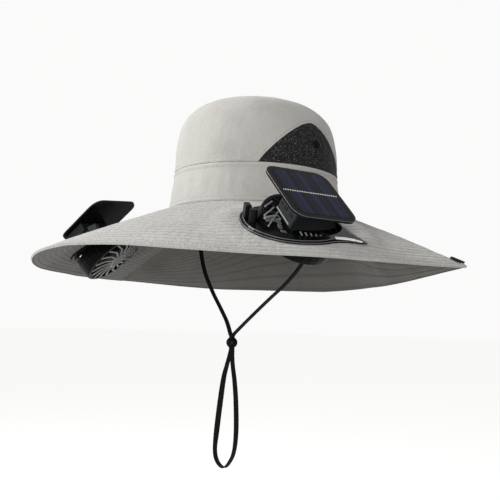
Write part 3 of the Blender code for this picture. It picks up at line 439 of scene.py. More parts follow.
BLACK = plastic_material("moulded_black", (0.0016, 0.0017, 0.0019), (0.0036, 0.0037, 0.0042), 0.36, spec=0.03)
GLOSS = plastic_material("gloss_black", (0.0014, 0.0014, 0.0017), (0.0030, 0.0030, 0.0035), 0.26, spec=0.03)
SLATE = plastic_material("slate_plastic", (0.0060, 0.0070, 0.0080), (0.0120, 0.0138, 0.0155), 0.38, spec=0.06)
ROTOR = plastic_material("rotor_plastic", (0.12, 0.125, 0.118), (0.19, 0.197, 0.186), 0.42, spec=0.25)
# A light grey that paints highlights and reflections on the flange and tray lips and the barrel slots.
RIM = plastic_material("rim_grey_highlight", (0.044, 0.046, 0.045), (0.070, 0.073, 0.071), 0.32, spec=0.25)
ROTOR_DARK = plastic_material("rotor_dark", (0.007, 0.0074, 0.0074), (0.014, 0.0147, 0.0144), 0.42, spec=0.06)
DRUM = plastic_material("switch_black", (0.0020, 0.0021, 0.0024), (0.0046, 0.0049, 0.0054), 0.32, spec=0.05)
# A light grey that paints the highlights along the near cage struts and on the battery box's lower edge.
SILVER_HIGHLIGHT = plastic_material("silver_highlight_grey", (0.080, 0.084, 0.086), (0.14, 0.145, 0.147), 0.32, spec=0.25)
# A pale silver that paints the highlight on the near flange's tail.
TAIL_HIGHLIGHT = plastic_material("tail_highlight_silver", (0.26, 0.27, 0.27), (0.40, 0.41, 0.41), 0.34, spec=0.4)
# A near-black that paints the shade inside openings and slots.
RECESS_SHADE = plastic_material("painted_recess_shade", (0.0012, 0.0012, 0.0014), (0.0022, 0.0022, 0.0025), 0.6, spec=0.05)


def net_material():
    n = Nodes("black_net")
    cells = n.tree.nodes.new("ShaderNodeTexVoronoi")
    cells.feature = "F1"
    cells.inputs["Scale"].default_value = 560.0
    cells.inputs["Randomness"].default_value = 0.35
    n.put(cells.inputs["Vector"], n.coords)
    # The holes are coloured darker to paint the shade seen through them, and light specks paint glints on the
    # threads.
    hole = n.math("LESS_THAN", cells.outputs["Distance"], 0.36)
    glint = n.math("GREATER_THAN", n.noise(950.0, 2.0, 0.6), 0.63)
    patch = n.noise(120.0, 3.0, 0.7)
    colour = n.mix(hole, (0.0085, 0.0087, 0.0094), (0.0012, 0.0012, 0.0014))
    glints = n.math("MULTIPLY", glint, n.math("MULTIPLY", patch, 0.7))
    colour = n.mix(glints, colour, (0.30, 0.29, 0.27))
    height = n.math("SUBTRACT", 1.0, hole)
    return n.done(colour, 0.7, n.bump(height, 0.7, 0.0006), Specular_IOR_Level=0.08)


NET = net_material()


def tape_material():
    n = Nodes("woven_tape")
    wave = n.add("ShaderNodeTexWave", Scale=420.0, Distortion=0.6, Detail=1.0)
    wave.bands_direction = "DIAGONAL"
    n.put(wave.inputs["Vector"], n.coords)
    fine = n.noise(1100.0, 2.0)
    height = n.math("ADD", wave.outputs["Fac"], n.math("MULTIPLY", fine, 0.5))
    colour = n.mix(wave.outputs["Fac"], (0.0022, 0.0021, 0.0022), (0.0065, 0.0062, 0.0065))
    return n.done(colour, 0.8, n.bump(height, 0.6, 0.0005), Specular_IOR_Level=0.07, Sheen_Weight=0.02)


TAPE = tape_material()


# ================================================================ hat shape
# These functions and tables are those of the CAD parts.
CROWN_HALF_LENGTH = 96.8 * MM
CROWN_HALF_WIDTH = 91.9 * MM
CROWN_WALL = 2.0 * MM
UPPER_SEAM_Z = 40.2 * MM
GAP = 0.3 * MM
CROWN_SECTIONS = [
    {"z": 0.0, "scale": 1.000},
    {"z": 20.0, "scale": 0.972},
    {"z": 40.2, "scale": 0.949},
    {"z": 60.0, "scale": 0.944},
    {"z": 80.0, "scale": 0.917},
    {"z": 96.0, "scale": 0.868},
    {"z": 107.0, "scale": 0.776},
    {"z": 115.5, "scale": 0.636},
    {"z": 120.5, "scale": 0.470},
    {"z": 123.0, "scale": 0.270},
    {"z": 124.0, "scale": 0.060},
]
WINDOW_MIDDLE_ANGLE = 87.0
WINDOW_HALF_ANGLE = 41.0
WINDOW_APEX_Z = 88.5 * MM
WINDOW_ROUNDNESS = 1.6
BRIM_WALL = 2.2 * MM
BRIM_DROOP = 0.12
CORNER_ANGLE = 91.5
BRIM_FRONT = [
    {"angle": 0.0, "radius": 236.8, "z": -54.4},
    {"angle": 15.0, "radius": 236.6, "z": -56.5},
    {"angle": 30.0, "radius": 235.8, "z": -60.9},
    {"angle": 45.0, "radius": 234.9, "z": -64.1},
    {"angle": 60.0, "radius": 234.5, "z": -65.3},
    {"angle": 75.0, "radius": 236.3, "z": -65.9},
    {"angle": 84.0, "radius": 241.5, "z": -66.1},
    {"angle": 91.5, "radius": 252.0, "z": -65.6},
]
BRIM_BACK = [
    {"angle": 91.5, "radius": 252.0, "z": -65.6},
    {"angle": 97.5, "radius": 213.0, "z": -69.5},
    {"angle": 105.0, "radius": 180.5, "z": -73.0},
    {"angle": 120.0, "radius": 144.7, "z": -76.5},
    {"angle": 140.0, "radius": 128.2, "z": -77.2},
    {"angle": 160.0, "radius": 125.1, "z": -78.0},
    {"angle": 180.0, "radius": 125.0, "z": -79.0},
]
FAN_RADIUS = {1: 167.0 * MM, -1: 171.0 * MM}
FAN_ANGLE = 57.0
FLAT_RADIUS = 58.0 * MM
FLAT_BLEND = 24.0 * MM
BRIM_HOLE_RADIUS = 41.7 * MM
HEADS = {
    1: {"out": -0.3, "back": 0.3, "up": -4.0, "tip": 20.9, "lean": -12.8},
    -1: {"out": 0.3, "back": 0.0, "up": -9.5, "tip": 17.1, "lean": 0.0},
}
PANELS = {
    1: {"x": 159.9, "y": -96.5, "z": -6.8, "faces": 77.5, "tilt": 44.5, "turn": 0.0},
    -1: {"x": 155.1, "y": -99.6, "z": -4.9, "faces": 68.2, "tilt": 33.8, "turn": 12.6},
}


def crown_scale(z):
    return curve_through(column(CROWN_SECTIONS, "z"), column(CROWN_SECTIONS, "scale"), z / MM)


def crown_point(angle, z, inset=0.0):
    s, a = crown_scale(z), math.radians(angle)
    return Vector(
        (
            (CROWN_HALF_WIDTH * s - inset) * math.sin(a),
            -(CROWN_HALF_LENGTH * s - inset) * math.cos(a),
            z,
        )
    )


def base_radius(angle):
    a = math.radians(angle)
    return 1 / math.sqrt(
        (math.sin(a) / CROWN_HALF_WIDTH) ** 2 + (math.cos(a) / CROWN_HALF_LENGTH) ** 2
    )


def brim_edge(angle):
    a = abs((angle + 180) % 360 - 180)
    table = BRIM_FRONT if a <= CORNER_ANGLE else BRIM_BACK
    xs = column(table, "angle")
    return (
        curve_through(xs, column(table, "radius"), a) * MM,
        curve_through(xs, column(table, "z"), a) * MM,
    )


def plain_brim_point(angle, share):
    a, base = math.radians(angle), base_radius(angle)
    if share < 0:
        radius, z = base + share, 0.0
    else:
        edge, edge_z = brim_edge(angle)
        radius = base + (edge - base) * share
        z = edge_z * (share + BRIM_DROOP * (share * share - share))
    return Vector((radius * math.sin(a), -radius * math.cos(a), z))


def placed(point, x_axis, y_axis, z_axis, side):
    flip = Matrix.Diagonal((side, 1, 1))
    x_axis, y_axis, z_axis = flip @ x_axis, flip @ y_axis * side, flip @ z_axis
    point = flip @ point
    rows = [(x_axis[i], y_axis[i], z_axis[i], point[i]) for i in range(3)]
    return Matrix(rows + [(0, 0, 0, 1)])


def fan_frame(side):
    """Frame of a fan unit on the brim: X outward, Z square to the brim."""
    a = math.radians(FAN_ANGLE)
    base, edge = base_radius(FAN_ANGLE), brim_edge(FAN_ANGLE)[0]
    share = (FAN_RADIUS[side] - base) / (edge - base)
    here = plain_brim_point(FAN_ANGLE, share)
    below = plain_brim_point(FAN_ANGLE, share + 0.01)
    slope = math.atan2(here.z - below.z, (edge - base) * 0.01)
    out = Vector((math.sin(a), -math.cos(a), 0))
    back = Vector((math.cos(a), math.sin(a), 0))
    x_axis = out * math.cos(slope) - Vector((0, 0, 1)) * math.sin(slope)
    z_axis = out * math.sin(slope) + Vector((0, 0, 1)) * math.cos(slope)
    return placed(here, x_axis, back, z_axis, side)


def head_frame(side):
    row = HEADS[side]
    middle = Vector((row["out"], side * row["back"], row["up"])) * MM
    tip = Matrix.Rotation(math.radians(row["tip"]), 4, "Y")
    lean = Matrix.Rotation(math.radians(side * row["lean"]), 4, "X")
    return fan_frame(side) @ Matrix.Translation(middle) @ tip @ lean


def panel_frame(side):
    row = PANELS[side]
    a, tilt = math.radians(row["faces"]), math.radians(row["tilt"])
    turn = math.radians(row["turn"])
    out = Vector((math.sin(a), -math.cos(a), 0))
    back = Vector((math.cos(a), math.sin(a), 0))
    slope = out * math.cos(tilt) - Vector((0, 0, 1)) * math.sin(tilt)
    z_axis = out * math.sin(tilt) + Vector((0, 0, 1)) * math.cos(tilt)
    x_axis = slope * math.cos(turn) + back * math.sin(turn)
    y_axis = back * math.cos(turn) - slope * math.sin(turn)
    centre = Vector((row["x"], row["y"], row["z"])) * MM
    return placed(centre, x_axis, y_axis, z_axis, side)


FAN_PLANES = [
    (fan_frame(s).inverted(), (fan_frame(s).to_3x3() @ Vector((0, 0, 1))).copy()) for s in (1, -1)
]


def brim_point(angle, share):
    p = plain_brim_point(angle, share)
    for inverse, normal in FAN_PLANES:
        q = inverse @ p
        near = math.hypot(q.x, q.y)
        weight = smoothstep(1 - (near - FLAT_RADIUS) / FLAT_BLEND)
        if weight > 0 and abs(q.z) < 0.03:
            p = p - normal * (q.z * weight)
    return p


def angle_steps(parts):
    half = [6.0 * k for k in range(14)]
    half += [82.5, 87.0, CORNER_ANGLE, 94.0, 97.5, 101.5, 106.5]
    half += [113.0, 121.0, 130.0, 141.0, 154.0, 167.0, 180.0]
    whole = half[:-1] + [360.0 - a for a in reversed(half[1:])] + [360.0]
    out = []
    for a, b in zip(whole, whole[1:]):
        out += [a + (b - a) * k / parts for k in range(parts)]
    return out


def brim_normal(angle, share):
    e = 0.004
    a = brim_point(angle, share + e) - brim_point(angle, share - e)
    b = brim_point(angle + 0.4, share) - brim_point(angle - 0.4, share)
    n = a.cross(b).normalized()
    return n if n.z > 0 else -n


def edge_length(angle):
    return brim_edge(angle)[0] - base_radius(angle)


# ================================================================ the strap
STRAP_WIDTH = 6.0 * MM
STRAP_THICK = 1.2 * MM
SLIDER_AT = Vector((-2.2, -28.7, -140.6)) * MM
SLIDER_HALF_HEIGHT = 6.4 * MM
STRAP_PLIES = 1.0 * MM
STRAP_LEFT = [
    {"x": 2.2, "y": -26.8, "z": -129.0},
    {"x": 22.0, "y": -23.3, "z": -111.6},
    {"x": 41.0, "y": -19.8, "z": -95.4},
    {"x": 62.5, "y": -15.5, "z": -77.2},
    {"x": 78.5, "y": -11.6, "z": -58.5},
    {"x": 87.0, "y": -7.5, "z": -38.0},
    {"x": 88.0, "y": -3.0, "z": -18.0},
    {"x": 86.6, "y": 0.0, "z": -1.0},
    {"x": 85.7, "y": 0.0, "z": 7.6},
]
STRAP_RIGHT = [
    {"x": -6.6, "y": -26.9, "z": -131.5},
    {"x": -15.0, "y": -24.4, "z": -119.0},
    {"x": -29.0, "y": -21.2, "z": -104.0},
    {"x": -47.5, "y": -17.2, "z": -85.0},
    {"x": -66.0, "y": -12.7, "z": -62.0},
    {"x": -79.0, "y": -8.0, "z": -37.0},
    {"x": -85.0, "y": -3.5, "z": -17.0},
    {"x": -86.6, "y": 0.0, "z": -1.0},
    {"x": -85.7, "y": 0.0, "z": 7.6},
]
STRAP_LOOP = [
    {"x": -3.3, "z": -148.5},
    {"x": -5.6, "z": -156.0},
    {"x": -9.0, "z": -165.5},
    {"x": -13.2, "z": -179.0},
    {"x": -17.4, "z": -204.0},
    {"x": -21.4, "z": -233.0},
    {"x": -23.4, "z": -255.0},
    {"x": -19.0, "z": -266.8},
    {"x": -8.7, "z": -271.5},
    {"x": 0.8, "z": -262.8},
    {"x": 6.0, "z": -251.0},
    {"x": 7.8, "z": -231.0},
    {"x": 6.4, "z": -203.0},
    {"x": 3.7, "z": -182.0},
    {"x": 0.4, "z": -166.0},
    {"x": -0.9, "z": -156.0},
    {"x": -1.1, "z": -148.5},
]


def smooth_run(points, count):
    dense, last = [], len(points) - 1
    for i in range(last):
        p0, p1 = points[max(i - 1, 0)], points[i]
        p2, p3 = points[i + 1], points[min(i + 2, last)]
        for k in range(16):
            t = k / 16
            dense.append(
                0.5
                * (
                    2 * p1
                    + (p2 - p0) * t
                    + (2 * p0 - 5 * p1 + 4 * p2 - p3) * t * t
                    + (3 * p1 - p0 - 3 * p2 + p3) * t**3
                )
            )
    dense.append(points[-1])
    lengths = [0.0]
    for a, b in zip(dense, dense[1:]):
        lengths.append(lengths[-1] + (b - a).length)
    out, i = [], 0
    for k in range(count):
        want = lengths[-1] * k / (count - 1)
        while i < len(dense) - 2 and lengths[i + 1] < want:
            i += 1
        t = (want - lengths[i]) / max(lengths[i + 1] - lengths[i], 1e-9)
        out.append(dense[i].lerp(dense[i + 1], min(1.0, max(0.0, t))))
    return out


def strap_route():
    def row(r):
        return Vector((r["x"], r.get("y", SLIDER_AT.y / MM), r["z"])) * MM

    ply = Vector((STRAP_PLIES, 0, 0))
    top = SLIDER_AT + Vector((0, 0, SLIDER_HALF_HEIGHT))
    low = SLIDER_AT - Vector((0, 0, SLIDER_HALF_HEIGHT))
    points = [row(r) for r in reversed(STRAP_RIGHT)]
    points += [top - ply, SLIDER_AT - ply, low - ply]
    points += [row(r) for r in STRAP_LOOP]
    points += [low + ply, SLIDER_AT + ply, top + ply]
    points += [row(r) for r in STRAP_LEFT]
    return points


def strap_sides(route):
    sides, middle = [], SLIDER_AT.z
    for i, p in enumerate(route):
        tangent = (route[min(i + 1, len(route) - 1)] - route[max(i - 1, 0)]).normalized()
        front = Vector((0, 1, 0))
        twist = smoothstep((middle - p.z - 15 * MM) / (60 * MM)) if p.z < middle else 0.0
        across = front - tangent * front.dot(tangent)
        across.normalize()
        face = tangent.cross(across).normalized()
        turn = math.radians(38) * twist * (1 - smoothstep((-p.z - 0.225) / 0.03))
        if p.x > SLIDER_AT.x:
            turn = -turn * 0.25
        sides.append(across * math.cos(turn) + face * math.sin(turn))
    return sides


def build_strap():
    route = smooth_run(strap_route(), 420)
    sides = strap_sides(route)
    half, thick, rings = STRAP_WIDTH / 2, STRAP_THICK / 2, []
    section = ((-1, -0.45), (-0.88, -0.95), (-0.3, -0.8), (0.3, -0.8), (0.88, -0.95), (1, -0.45))
    section += tuple((-u, -v) for u, v in section)
    for i, (p, across) in enumerate(zip(route, sides)):
        tangent = (route[min(i + 1, len(route) - 1)] - route[max(i - 1, 0)]).normalized()
        across = (across - tangent * across.dot(tangent)).normalized()
        face = tangent.cross(across)
        rib = 1.0 + 0.06 * math.sin(i * 2.6)
        rings.append([p + across * (half * a) + face * (thick * b * rib) for a, b in section])
    bm = bmesh.new()
    add_rings(bm, rings)
    strap = new_object("strap_ribbon", close_mesh(bm, "strap_ribbon"), TAPE)
    strap.data.shade_smooth()
    strap.data.set_sharp_from_angle(angle=math.radians(60))
    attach(strap, "root")
    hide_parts("chin_strap")


build_strap()


# ================================================================ cloth
def wrinkle(p, scale, seed):
    return noise.noise(Vector((p.x * scale + seed, p.y * scale, p.z * scale)))


def band_puff(angle, z):
    """How far the band's cloth stands out of its plain form."""
    t = z / UPPER_SEAM_Z
    near_low, near_top = math.exp(-((z / 0.006) ** 2)), math.exp(-(((UPPER_SEAM_Z - z) / 0.006) ** 2))
    a = math.radians(angle)
    ring = Vector((math.cos(a) * 9, math.sin(a) * 9, 0))
    fine = Vector((math.cos(a) * 26, math.sin(a) * 26, z * 40))
    puff = 0.9 * math.sin(math.pi * min(1, max(0, t))) * (0.6 + 0.8 * noise.noise(ring))
    seam = (near_low + near_top) * 0.55 * noise.noise(fine)
    roll = 0.5 * math.exp(-(((z - 0.0022) / 0.0016) ** 2)) + 0.6 * math.exp(-(((UPPER_SEAM_Z - z - 0.0022) / 0.0018) ** 2))
    return (puff + seam + roll) * MM


def crown_puff(angle, z):
    a = math.radians(angle)
    up = z - UPPER_SEAM_Z
    wide = noise.noise(Vector((math.cos(a) * 3.1, math.sin(a) * 3.1, z * 22)))
    fine = noise.noise(Vector((math.cos(a) * 22, math.sin(a) * 22, z * 30)))
    roll = 0.55 * math.exp(-(((up - 0.0020) / 0.0018) ** 2))
    return (0.9 * wide + 0.9 * fine * math.exp(-up / 0.010) * 0.6 + roll) * MM


def shell(name, rows, thick, outer, inner, pole=None):
    obj = new_object(name, grid_mesh(name, rows, pole=pole), outer, inner)
    solid = obj.modifiers.new("wall", "SOLIDIFY")
    solid.thickness, solid.offset = thick, -1.0
    solid.material_offset = 1
    solid.material_offset_rim = 0
    return obj


def window_outline(shrink=0.0, steps=64):
    """The vent window as (angle, z) pairs from one foot over the top."""
    out = []
    for k in range(steps + 1):
        u = -1 + 2 * k / steps
        z = UPPER_SEAM_Z + (WINDOW_APEX_Z - UPPER_SEAM_Z) * (1 - abs(u) ** WINDOW_ROUNDNESS)
        out.append((WINDOW_MIDDLE_ANGLE + u * WINDOW_HALF_ANGLE, z))
    return out


def window_cutter(side):
    low = UPPER_SEAM_Z - 4 * MM
    outline = []
    for angle, z in window_outline(steps=40):
        outline.append((-CROWN_HALF_LENGTH * crown_scale(z) * math.cos(math.radians(angle)), z))
    outline = [(outline[0][0], low)] + outline + [(outline[-1][0], low)]
    bm = bmesh.new()
    add_rings(bm, [[(side * x, y, z) for y, z in outline] for x in (30 * MM, 120 * MM)])
    return new_object("window", close_mesh(bm, "window"))


def build_crown():
    angles = [360.0 * k / 220 for k in range(220)]
    heights = [UPPER_SEAM_Z + GAP / 2 + h * MM for h in (0, 0.6, 1.2, 2.0, 3.0, 4.0, 5.5, 7.5, 10)]
    heights += [z * MM for z in (54, 58, 62, 66, 70, 74, 78, 82, 86, 89, 92, 95, 98, 100.5, 103, 105, 107)]
    heights += [z * MM for z in (109, 111, 113, 114.8, 116.4, 118, 119.4, 120.6, 121.6, 122.4, 123.0, 123.5)]
    rows = []
    for z in heights:
        rows.append([crown_point(a, z, -crown_puff(a, z)) for a in angles])
    crown = shell("crown_cloth", rows, CROWN_WALL, CLOTH_CROWN, CLOTH_CROWN, pole=Vector((0, 0, 124.3 * MM)))
    cutters = [window_cutter(1), window_cutter(-1)]
    cut(crown, cutters)
    apply_modifiers(crown)
    for c in cutters:
        bpy.data.objects.remove(c, do_unlink=True)
    crown.data.shade_smooth()
    crown.data.set_sharp_from_angle(angle=math.radians(55))
    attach(crown, "root")
    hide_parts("crown")


def build_band():
    angles = [360.0 * k / 220 for k in range(220)]
    heights = [h * MM for h in (0.3, 0.9, 1.6, 2.4, 3.2, 4.2, 5.5, 7, 9, 12, 15, 18, 21, 24, 27, 30)]
    heights += [h * MM for h in (32.5, 34.5, 36, 37, 37.8, 38.6, 39.3, 40.0)]
    rows = [[crown_point(a, z, -band_puff(a, z)) for a in angles] for z in heights]
    band = shell("band_cloth", rows, CROWN_WALL, CLOTH_CROWN, CLOTH_CROWN)
    apply_modifiers(band)
    band.data.shade_smooth()
    band.data.set_sharp_from_angle(angle=math.radians(60))
    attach(band, "root")
    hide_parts("crown_band")


def build_brim():
    angles = angle_steps(8)
    rows_share = [-2.2 * MM, 0.0, 0.012, 0.03, 0.06]
    rows_share += [0.06 + 0.86 * k / 32 for k in range(1, 33)]
    tail = [9.5, 8.0, 6.8, 6.0, 5.4, 5.0, 4.6, 4.0, 3.2, 2.2, 1.2, 0.5, 0.0]  # mm from the edge
    layers = []
    for a in angles:
        length = edge_length(a)
        shares = list(rows_share) + [
            max(0.925 + 0.001 * k, 1 - t * MM / length) for k, t in enumerate(tail)
        ]
        line = []
        for s in shares:
            p = brim_point(a, s)
            if s > 0:
                far = (1 - s) * length
                n = brim_normal(a, min(s, 0.985))
                lift = 0.35 * math.exp(-(((far - 0.0026) / 0.0022) ** 2))
                lift -= 0.30 * math.exp(-(((far - 0.0052) / 0.0007) ** 2))
                lift += 0.30 * noise.noise(Vector((p.x * 90, p.y * 90, 1.7))) * smoothstep(far / 0.02)
                lift += 0.8 * noise.noise(Vector((p.x * 16, p.y * 16, 5.1))) * smoothstep(far / 0.03)
                if s < 0.2:
                    lift += 0.5 * math.exp(-((s * length / 0.005) ** 2)) * noise.noise(
                        Vector((math.cos(math.radians(a)) * 24, math.sin(math.radians(a)) * 24, 3))
                    )
                    lift *= smoothstep(s * length / 0.004)
                for inverse, _ in FAN_PLANES:
                    q = inverse @ p
                    lift *= smoothstep((math.hypot(q.x, q.y) - 0.054) / 0.008)
                p = p + n * (lift * MM)
            line.append((p, (1 - max(s, 0.0)) * length))
        layers.append(line)
    count = len(layers[0])
    rows = [[line[k][0] for line in layers] for k in reversed(range(count))]
    far = [[line[k][1] for line in layers] for k in reversed(range(count))]
    mesh = grid_mesh("brim_cloth", rows)
    values = mesh.attributes.new("from_edge", "FLOAT", "POINT")
    values.data.foreach_set("value", [v for row in far for v in row])
    brim = new_object("brim_cloth", mesh, CLOTH_TOP, CLOTH_UNDER_SHADED)
    solid = brim.modifiers.new("wall", "SOLIDIFY")
    solid.thickness, solid.offset = BRIM_WALL, -1.0
    solid.material_offset = 1
    solid.material_offset_rim = 0
    cutters = [
        cylinder_cutter("hole", BRIM_HOLE_RADIUS, -0.03, 0.03, 64, fan_frame(side)) for side in (1, -1)
    ]
    cut(brim, cutters)
    apply_modifiers(brim)
    for c in cutters:
        bpy.data.objects.remove(c, do_unlink=True)
    brim.data.shade_smooth()
    brim.data.set_sharp_from_angle(angle=math.radians(50))
    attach(brim, "root")
    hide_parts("brim")


build_crown()
build_band()
build_brim()


def brim_row(from_edge, under, lift):
    """Points and outward normals of a line that runs beside the brim's edge."""
    points, normals = [], []
    for a in angle_steps(6) + [0.0]:
        s = 1 - from_edge / edge_length(a)
        n = brim_normal(a, min(s, 0.985))
        p = brim_point(a, s)
        if under:
            p, n = p - n * (BRIM_WALL + lift), -n
        else:
            p = p + n * lift
        points.append(p)
        normals.append(n)
    return points, normals


def ring_row(z, puff):
    points, normals = [], []
    for k in range(241):
        a = 360.0 * k / 240
        points.append(crown_point(a, z, -puff(a, z)))
        r = math.radians(a)
        normals.append(Vector((math.sin(r), -math.cos(r), 0.05)).normalized())
    return points, normals


stitches("hem_stitches_top", *brim_row(5.2 * MM, False, -0.05 * MM), "root", THREAD)
stitches("hem_stitches_under", *brim_row(5.2 * MM, True, 0.0), "root", THREAD_UNDER_SHADED)
stitches("band_stitches_low", *ring_row(4.6 * MM, band_puff), "root", THREAD)
stitches("band_stitches_top", *ring_row(UPPER_SEAM_Z - 4.4 * MM, band_puff), "root", THREAD)
for word, first, last in (("front", 136, 224), ("back", 316, 404)):
    row = ring_row(UPPER_SEAM_Z + 4.2 * MM, crown_puff)
    span = [round(((a - 180) % 360) / 360 * 240) % 240 for a in range(first, last)]
    stitches("crown_stitches_" + word, [row[0][k] for k in span], [row[1][k] for k in span], "root", THREAD)
for side, word in ((1, "left"), (-1, "right")):
    points, normals = [], []
    outline = window_outline(steps=96)
    for (a0, z0), (a1, z1) in zip(outline, outline[1:]):
        if z0 < UPPER_SEAM_Z + 6 * MM:
            continue
        p, q = crown_point(a0, z0), crown_point(a1, z1)
        out = Vector((math.sin(math.radians(a0)), -math.cos(math.radians(a0)), 0.1)).normalized()
        away = (q - p).normalized().cross(out)
        if away.z < 0:
            away = -away
        p = p + away * 2.6 * MM
        p = crown_point(math.degrees(math.atan2(p.x, -p.y / CROWN_HALF_LENGTH * CROWN_HALF_WIDTH)), p.z, -crown_puff(a0, p.z) - 0.02 * MM)
        points.append(Vector((side * p.x, p.y, p.z)))
        normals.append(Vector((side * out.x, out.y, out.z)))
    stitches("window_stitches_" + word, points, normals, "root", THREAD)


# ================================================================ plastics
for name, obj in NODES.items():
    mats = obj.data.materials
    look = BLACK
    if name.startswith("vent_mesh"):
        look = NET
    elif name.startswith(("strap_anchor", "brim_tab", "chin_strap")):
        look = TAPE
    elif name.startswith(("solar_tray", "fan_flange")):
        look = GLOSS
    elif name.startswith("battery_box"):
        look = SLATE
    elif name.startswith("switch_block"):
        look = DRUM
    elif name.startswith("fan_rotor"):
        look = ROTOR_DARK
    mats.clear()
    mats.append(look)


def cell_material(side):
    """Dark cell with lengthwise bands and a broken silver line across it."""
    m = panel_frame(side)
    down, along = m.to_3x3() @ Vector((1, 0, 0)), m.to_3x3() @ Vector((0, side, 0))
    n = Nodes("solar_cell_" + ("left" if side > 0 else "right"))
    u, v = n.dot(down, m.translation), n.dot(along, m.translation)
    slow = n.math("SINE", n.math("MULTIPLY_ADD", v, 2 * math.pi / (19.0 * MM), 1.1))
    quick = n.math("SINE", n.math("MULTIPLY_ADD", v, 2 * math.pi / (8.1 * MM), 0.4))
    wobble = n.noise(70.0, 3.0)
    band = n.math("MULTIPLY_ADD", slow, 0.30, n.math("MULTIPLY_ADD", quick, 0.20, 0.50))
    band = n.math("MULTIPLY", band, n.math("MULTIPLY_ADD", wobble, 0.9, 0.45))
    colour = n.ramp(band, [(0.12, (0.0010, 0.0012, 0.0026)), (0.48, (0.0036, 0.0052, 0.0150)), (0.95, (0.0078, 0.0116, 0.0345))])
    lines = n.math("SINE", n.math("MULTIPLY", u, 2 * math.pi / (1.15 * MM)))
    colour = n.mix(n.math("MULTIPLY", n.math("GREATER_THAN", lines, 0.93), 0.25), colour, (0.05, 0.055, 0.07))
    bus = n.math("LESS_THAN", n.math("ABSOLUTE", n.math("ADD", u, 0.6 * MM)), 0.75 * MM)
    dash = n.math("GREATER_THAN", n.math("SINE", n.math("MULTIPLY", v, 2 * math.pi / (2.5 * MM))), -0.55)
    inside = n.math("LESS_THAN", n.math("ABSOLUTE", v), 29.6 * MM)
    mask = n.math("MULTIPLY", n.math("MULTIPLY", bus, dash), inside)
    worn = n.math("MULTIPLY_ADD", n.noise(700.0, 2.0), 0.5, 0.55)
    colour = n.mix(n.math("MULTIPLY", mask, worn), colour, (0.52, 0.51, 0.46))
    return n.done(colour, n.math("MULTIPLY_ADD", wobble, 0.08, 0.16), n.bump(n.noise(500.0), 0.03, 0.0002), Specular_IOR_Level=0.025)


def guard_material(side):
    """Pale ribs inside a black rim."""
    m = head_frame(side)
    n = Nodes("guard_" + ("left" if side > 0 else "right"))
    u = n.dot(m.to_3x3() @ Vector((1, 0, 0)), m.translation)
    v = n.dot(m.to_3x3() @ Vector((0, 1, 0)), m.translation)
    reach = n.math("ADD", n.math("MULTIPLY", u, u), n.math("MULTIPLY", v, v))
    rim = n.math("GREATER_THAN", reach, (33.6 * MM) ** 2)
    hub = n.math("LESS_THAN", reach, (8.6 * MM) ** 2)
    fine = n.noise(900.0, 3.0, 0.6)
    colour = n.mix(n.noise(60.0, 3.0), (0.13, 0.133, 0.126), (0.20, 0.205, 0.195))
    colour = n.mix(hub, colour, (0.062, 0.064, 0.061))
    colour = n.mix(rim, colour, (0.0026, 0.0027, 0.003))
    return n.done(colour, 0.4, n.bump(fine, 0.10, 0.0002), Specular_IOR_Level=0.08)


for side, word in ((1, "left"), (-1, "right")):
    NODES["fan_guard_" + word].data.materials.clear()
    NODES["fan_guard_" + word].data.materials.append(guard_material(side))
    NODES["solar_cell_" + word].data.materials.clear()
    NODES["solar_cell_" + word].data.materials.append(cell_material(side))


# ================================================================ studio
def build_studio():
    n = Nodes("pale_floor")
    n.done(n.mix(n.noise(3.0), (0.295, 0.295, 0.292), (0.305, 0.305, 0.302)), 0.9, n.bump(n.noise(40.0), 0.05, 0.001), Emission_Color=(1.0, 1.0, 0.99, 1.0), Emission_Strength=0.655, Specular_IOR_Level=0.0)
    bm = bmesh.new()
    bmesh.ops.create_grid(bm, x_segments=8, y_segments=8, size=40)
    floor = new_object("floor", close_mesh(bm, "floor"), n.mat)
    floor.location = (0, 0, -0.62)
    world = bpy.data.worlds.new("studio")
    bpy.context.scene.world = world
    world.use_nodes = True
    back = world.node_tree.nodes["Background"]
    back.inputs["Color"].default_value = (1.0, 0.998, 0.995, 1)
    back.inputs["Strength"].default_value = 0.96
    az = math.radians(44.028)
    ahead = Vector((-math.sin(az), math.cos(az), 0))
    right = Vector((math.cos(az), math.sin(az), 0))
    lamps = (
        ("key", -right * 1.75 + ahead * 0.35 + Vector((0, 0, 1.15)), 0.8, 62.0),
        ("fill", -right * 1.2 - ahead * 1.9 + Vector((0, 0, 0.10)), 1.0, 50.0),
    )
    for name, place, size, power in lamps:
        data = bpy.data.lights.new(name, "AREA")
        data.shape = "DISK"
        data.size, data.energy = size, power
        lamp = link(bpy.data.objects.new(name, data))
        lamp.location = place
        lamp.rotation_euler = (Vector((0, 0, -0.03)) - place).to_track_quat("-Z", "Y").to_euler()
    bpy.context.scene.view_settings.view_transform = "Standard"
    bpy.context.scene.view_settings.look = "None"


build_studio()


# ================================================================ details
CAMERA = bpy.context.scene.camera.matrix_world


def sight(x, y):
    """The line of sight through a point of the 500 x 500 picture."""
    d = CAMERA.to_3x3() @ Vector(((x - 250) / 752.72, (250 - y) / 752.72, -1))
    return CAMERA.translation.copy(), d.normalized()


def on_plane(x, y, matrix, height):
    """Where the line of sight meets the level `height` of a frame."""
    start, d = sight(x, y)
    normal = (matrix.to_3x3() @ Vector((0, 0, 1))).normalized()
    origin = matrix @ Vector((0, 0, height))
    return start + d * ((origin - start).dot(normal) / d.dot(normal))


def on_ball(x, y, centre, radius):
    start, d = sight(x, y)
    back = start - centre
    b = back.dot(d)
    return start + d * (-b - math.sqrt(max(0.0, b * b - back.dot(back) + radius * radius)))


def add_bars(name, rows, place, normal, mat, body, thick=1.2 * MM):
    bm = bmesh.new()
    for row in rows:
        a, b = place(row["x0"], row["y0"]), place(row["x1"], row["y1"])
        bar(bm, a, b, row["wide"] * MM, thick, normal)
    bmesh.ops.bevel(bm, geom=bm.edges[:], offset=0.15 * MM, segments=1, affect="EDGES")
    obj = new_object(name, close_mesh(bm, name), mat)
    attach(obj, body)
    return obj


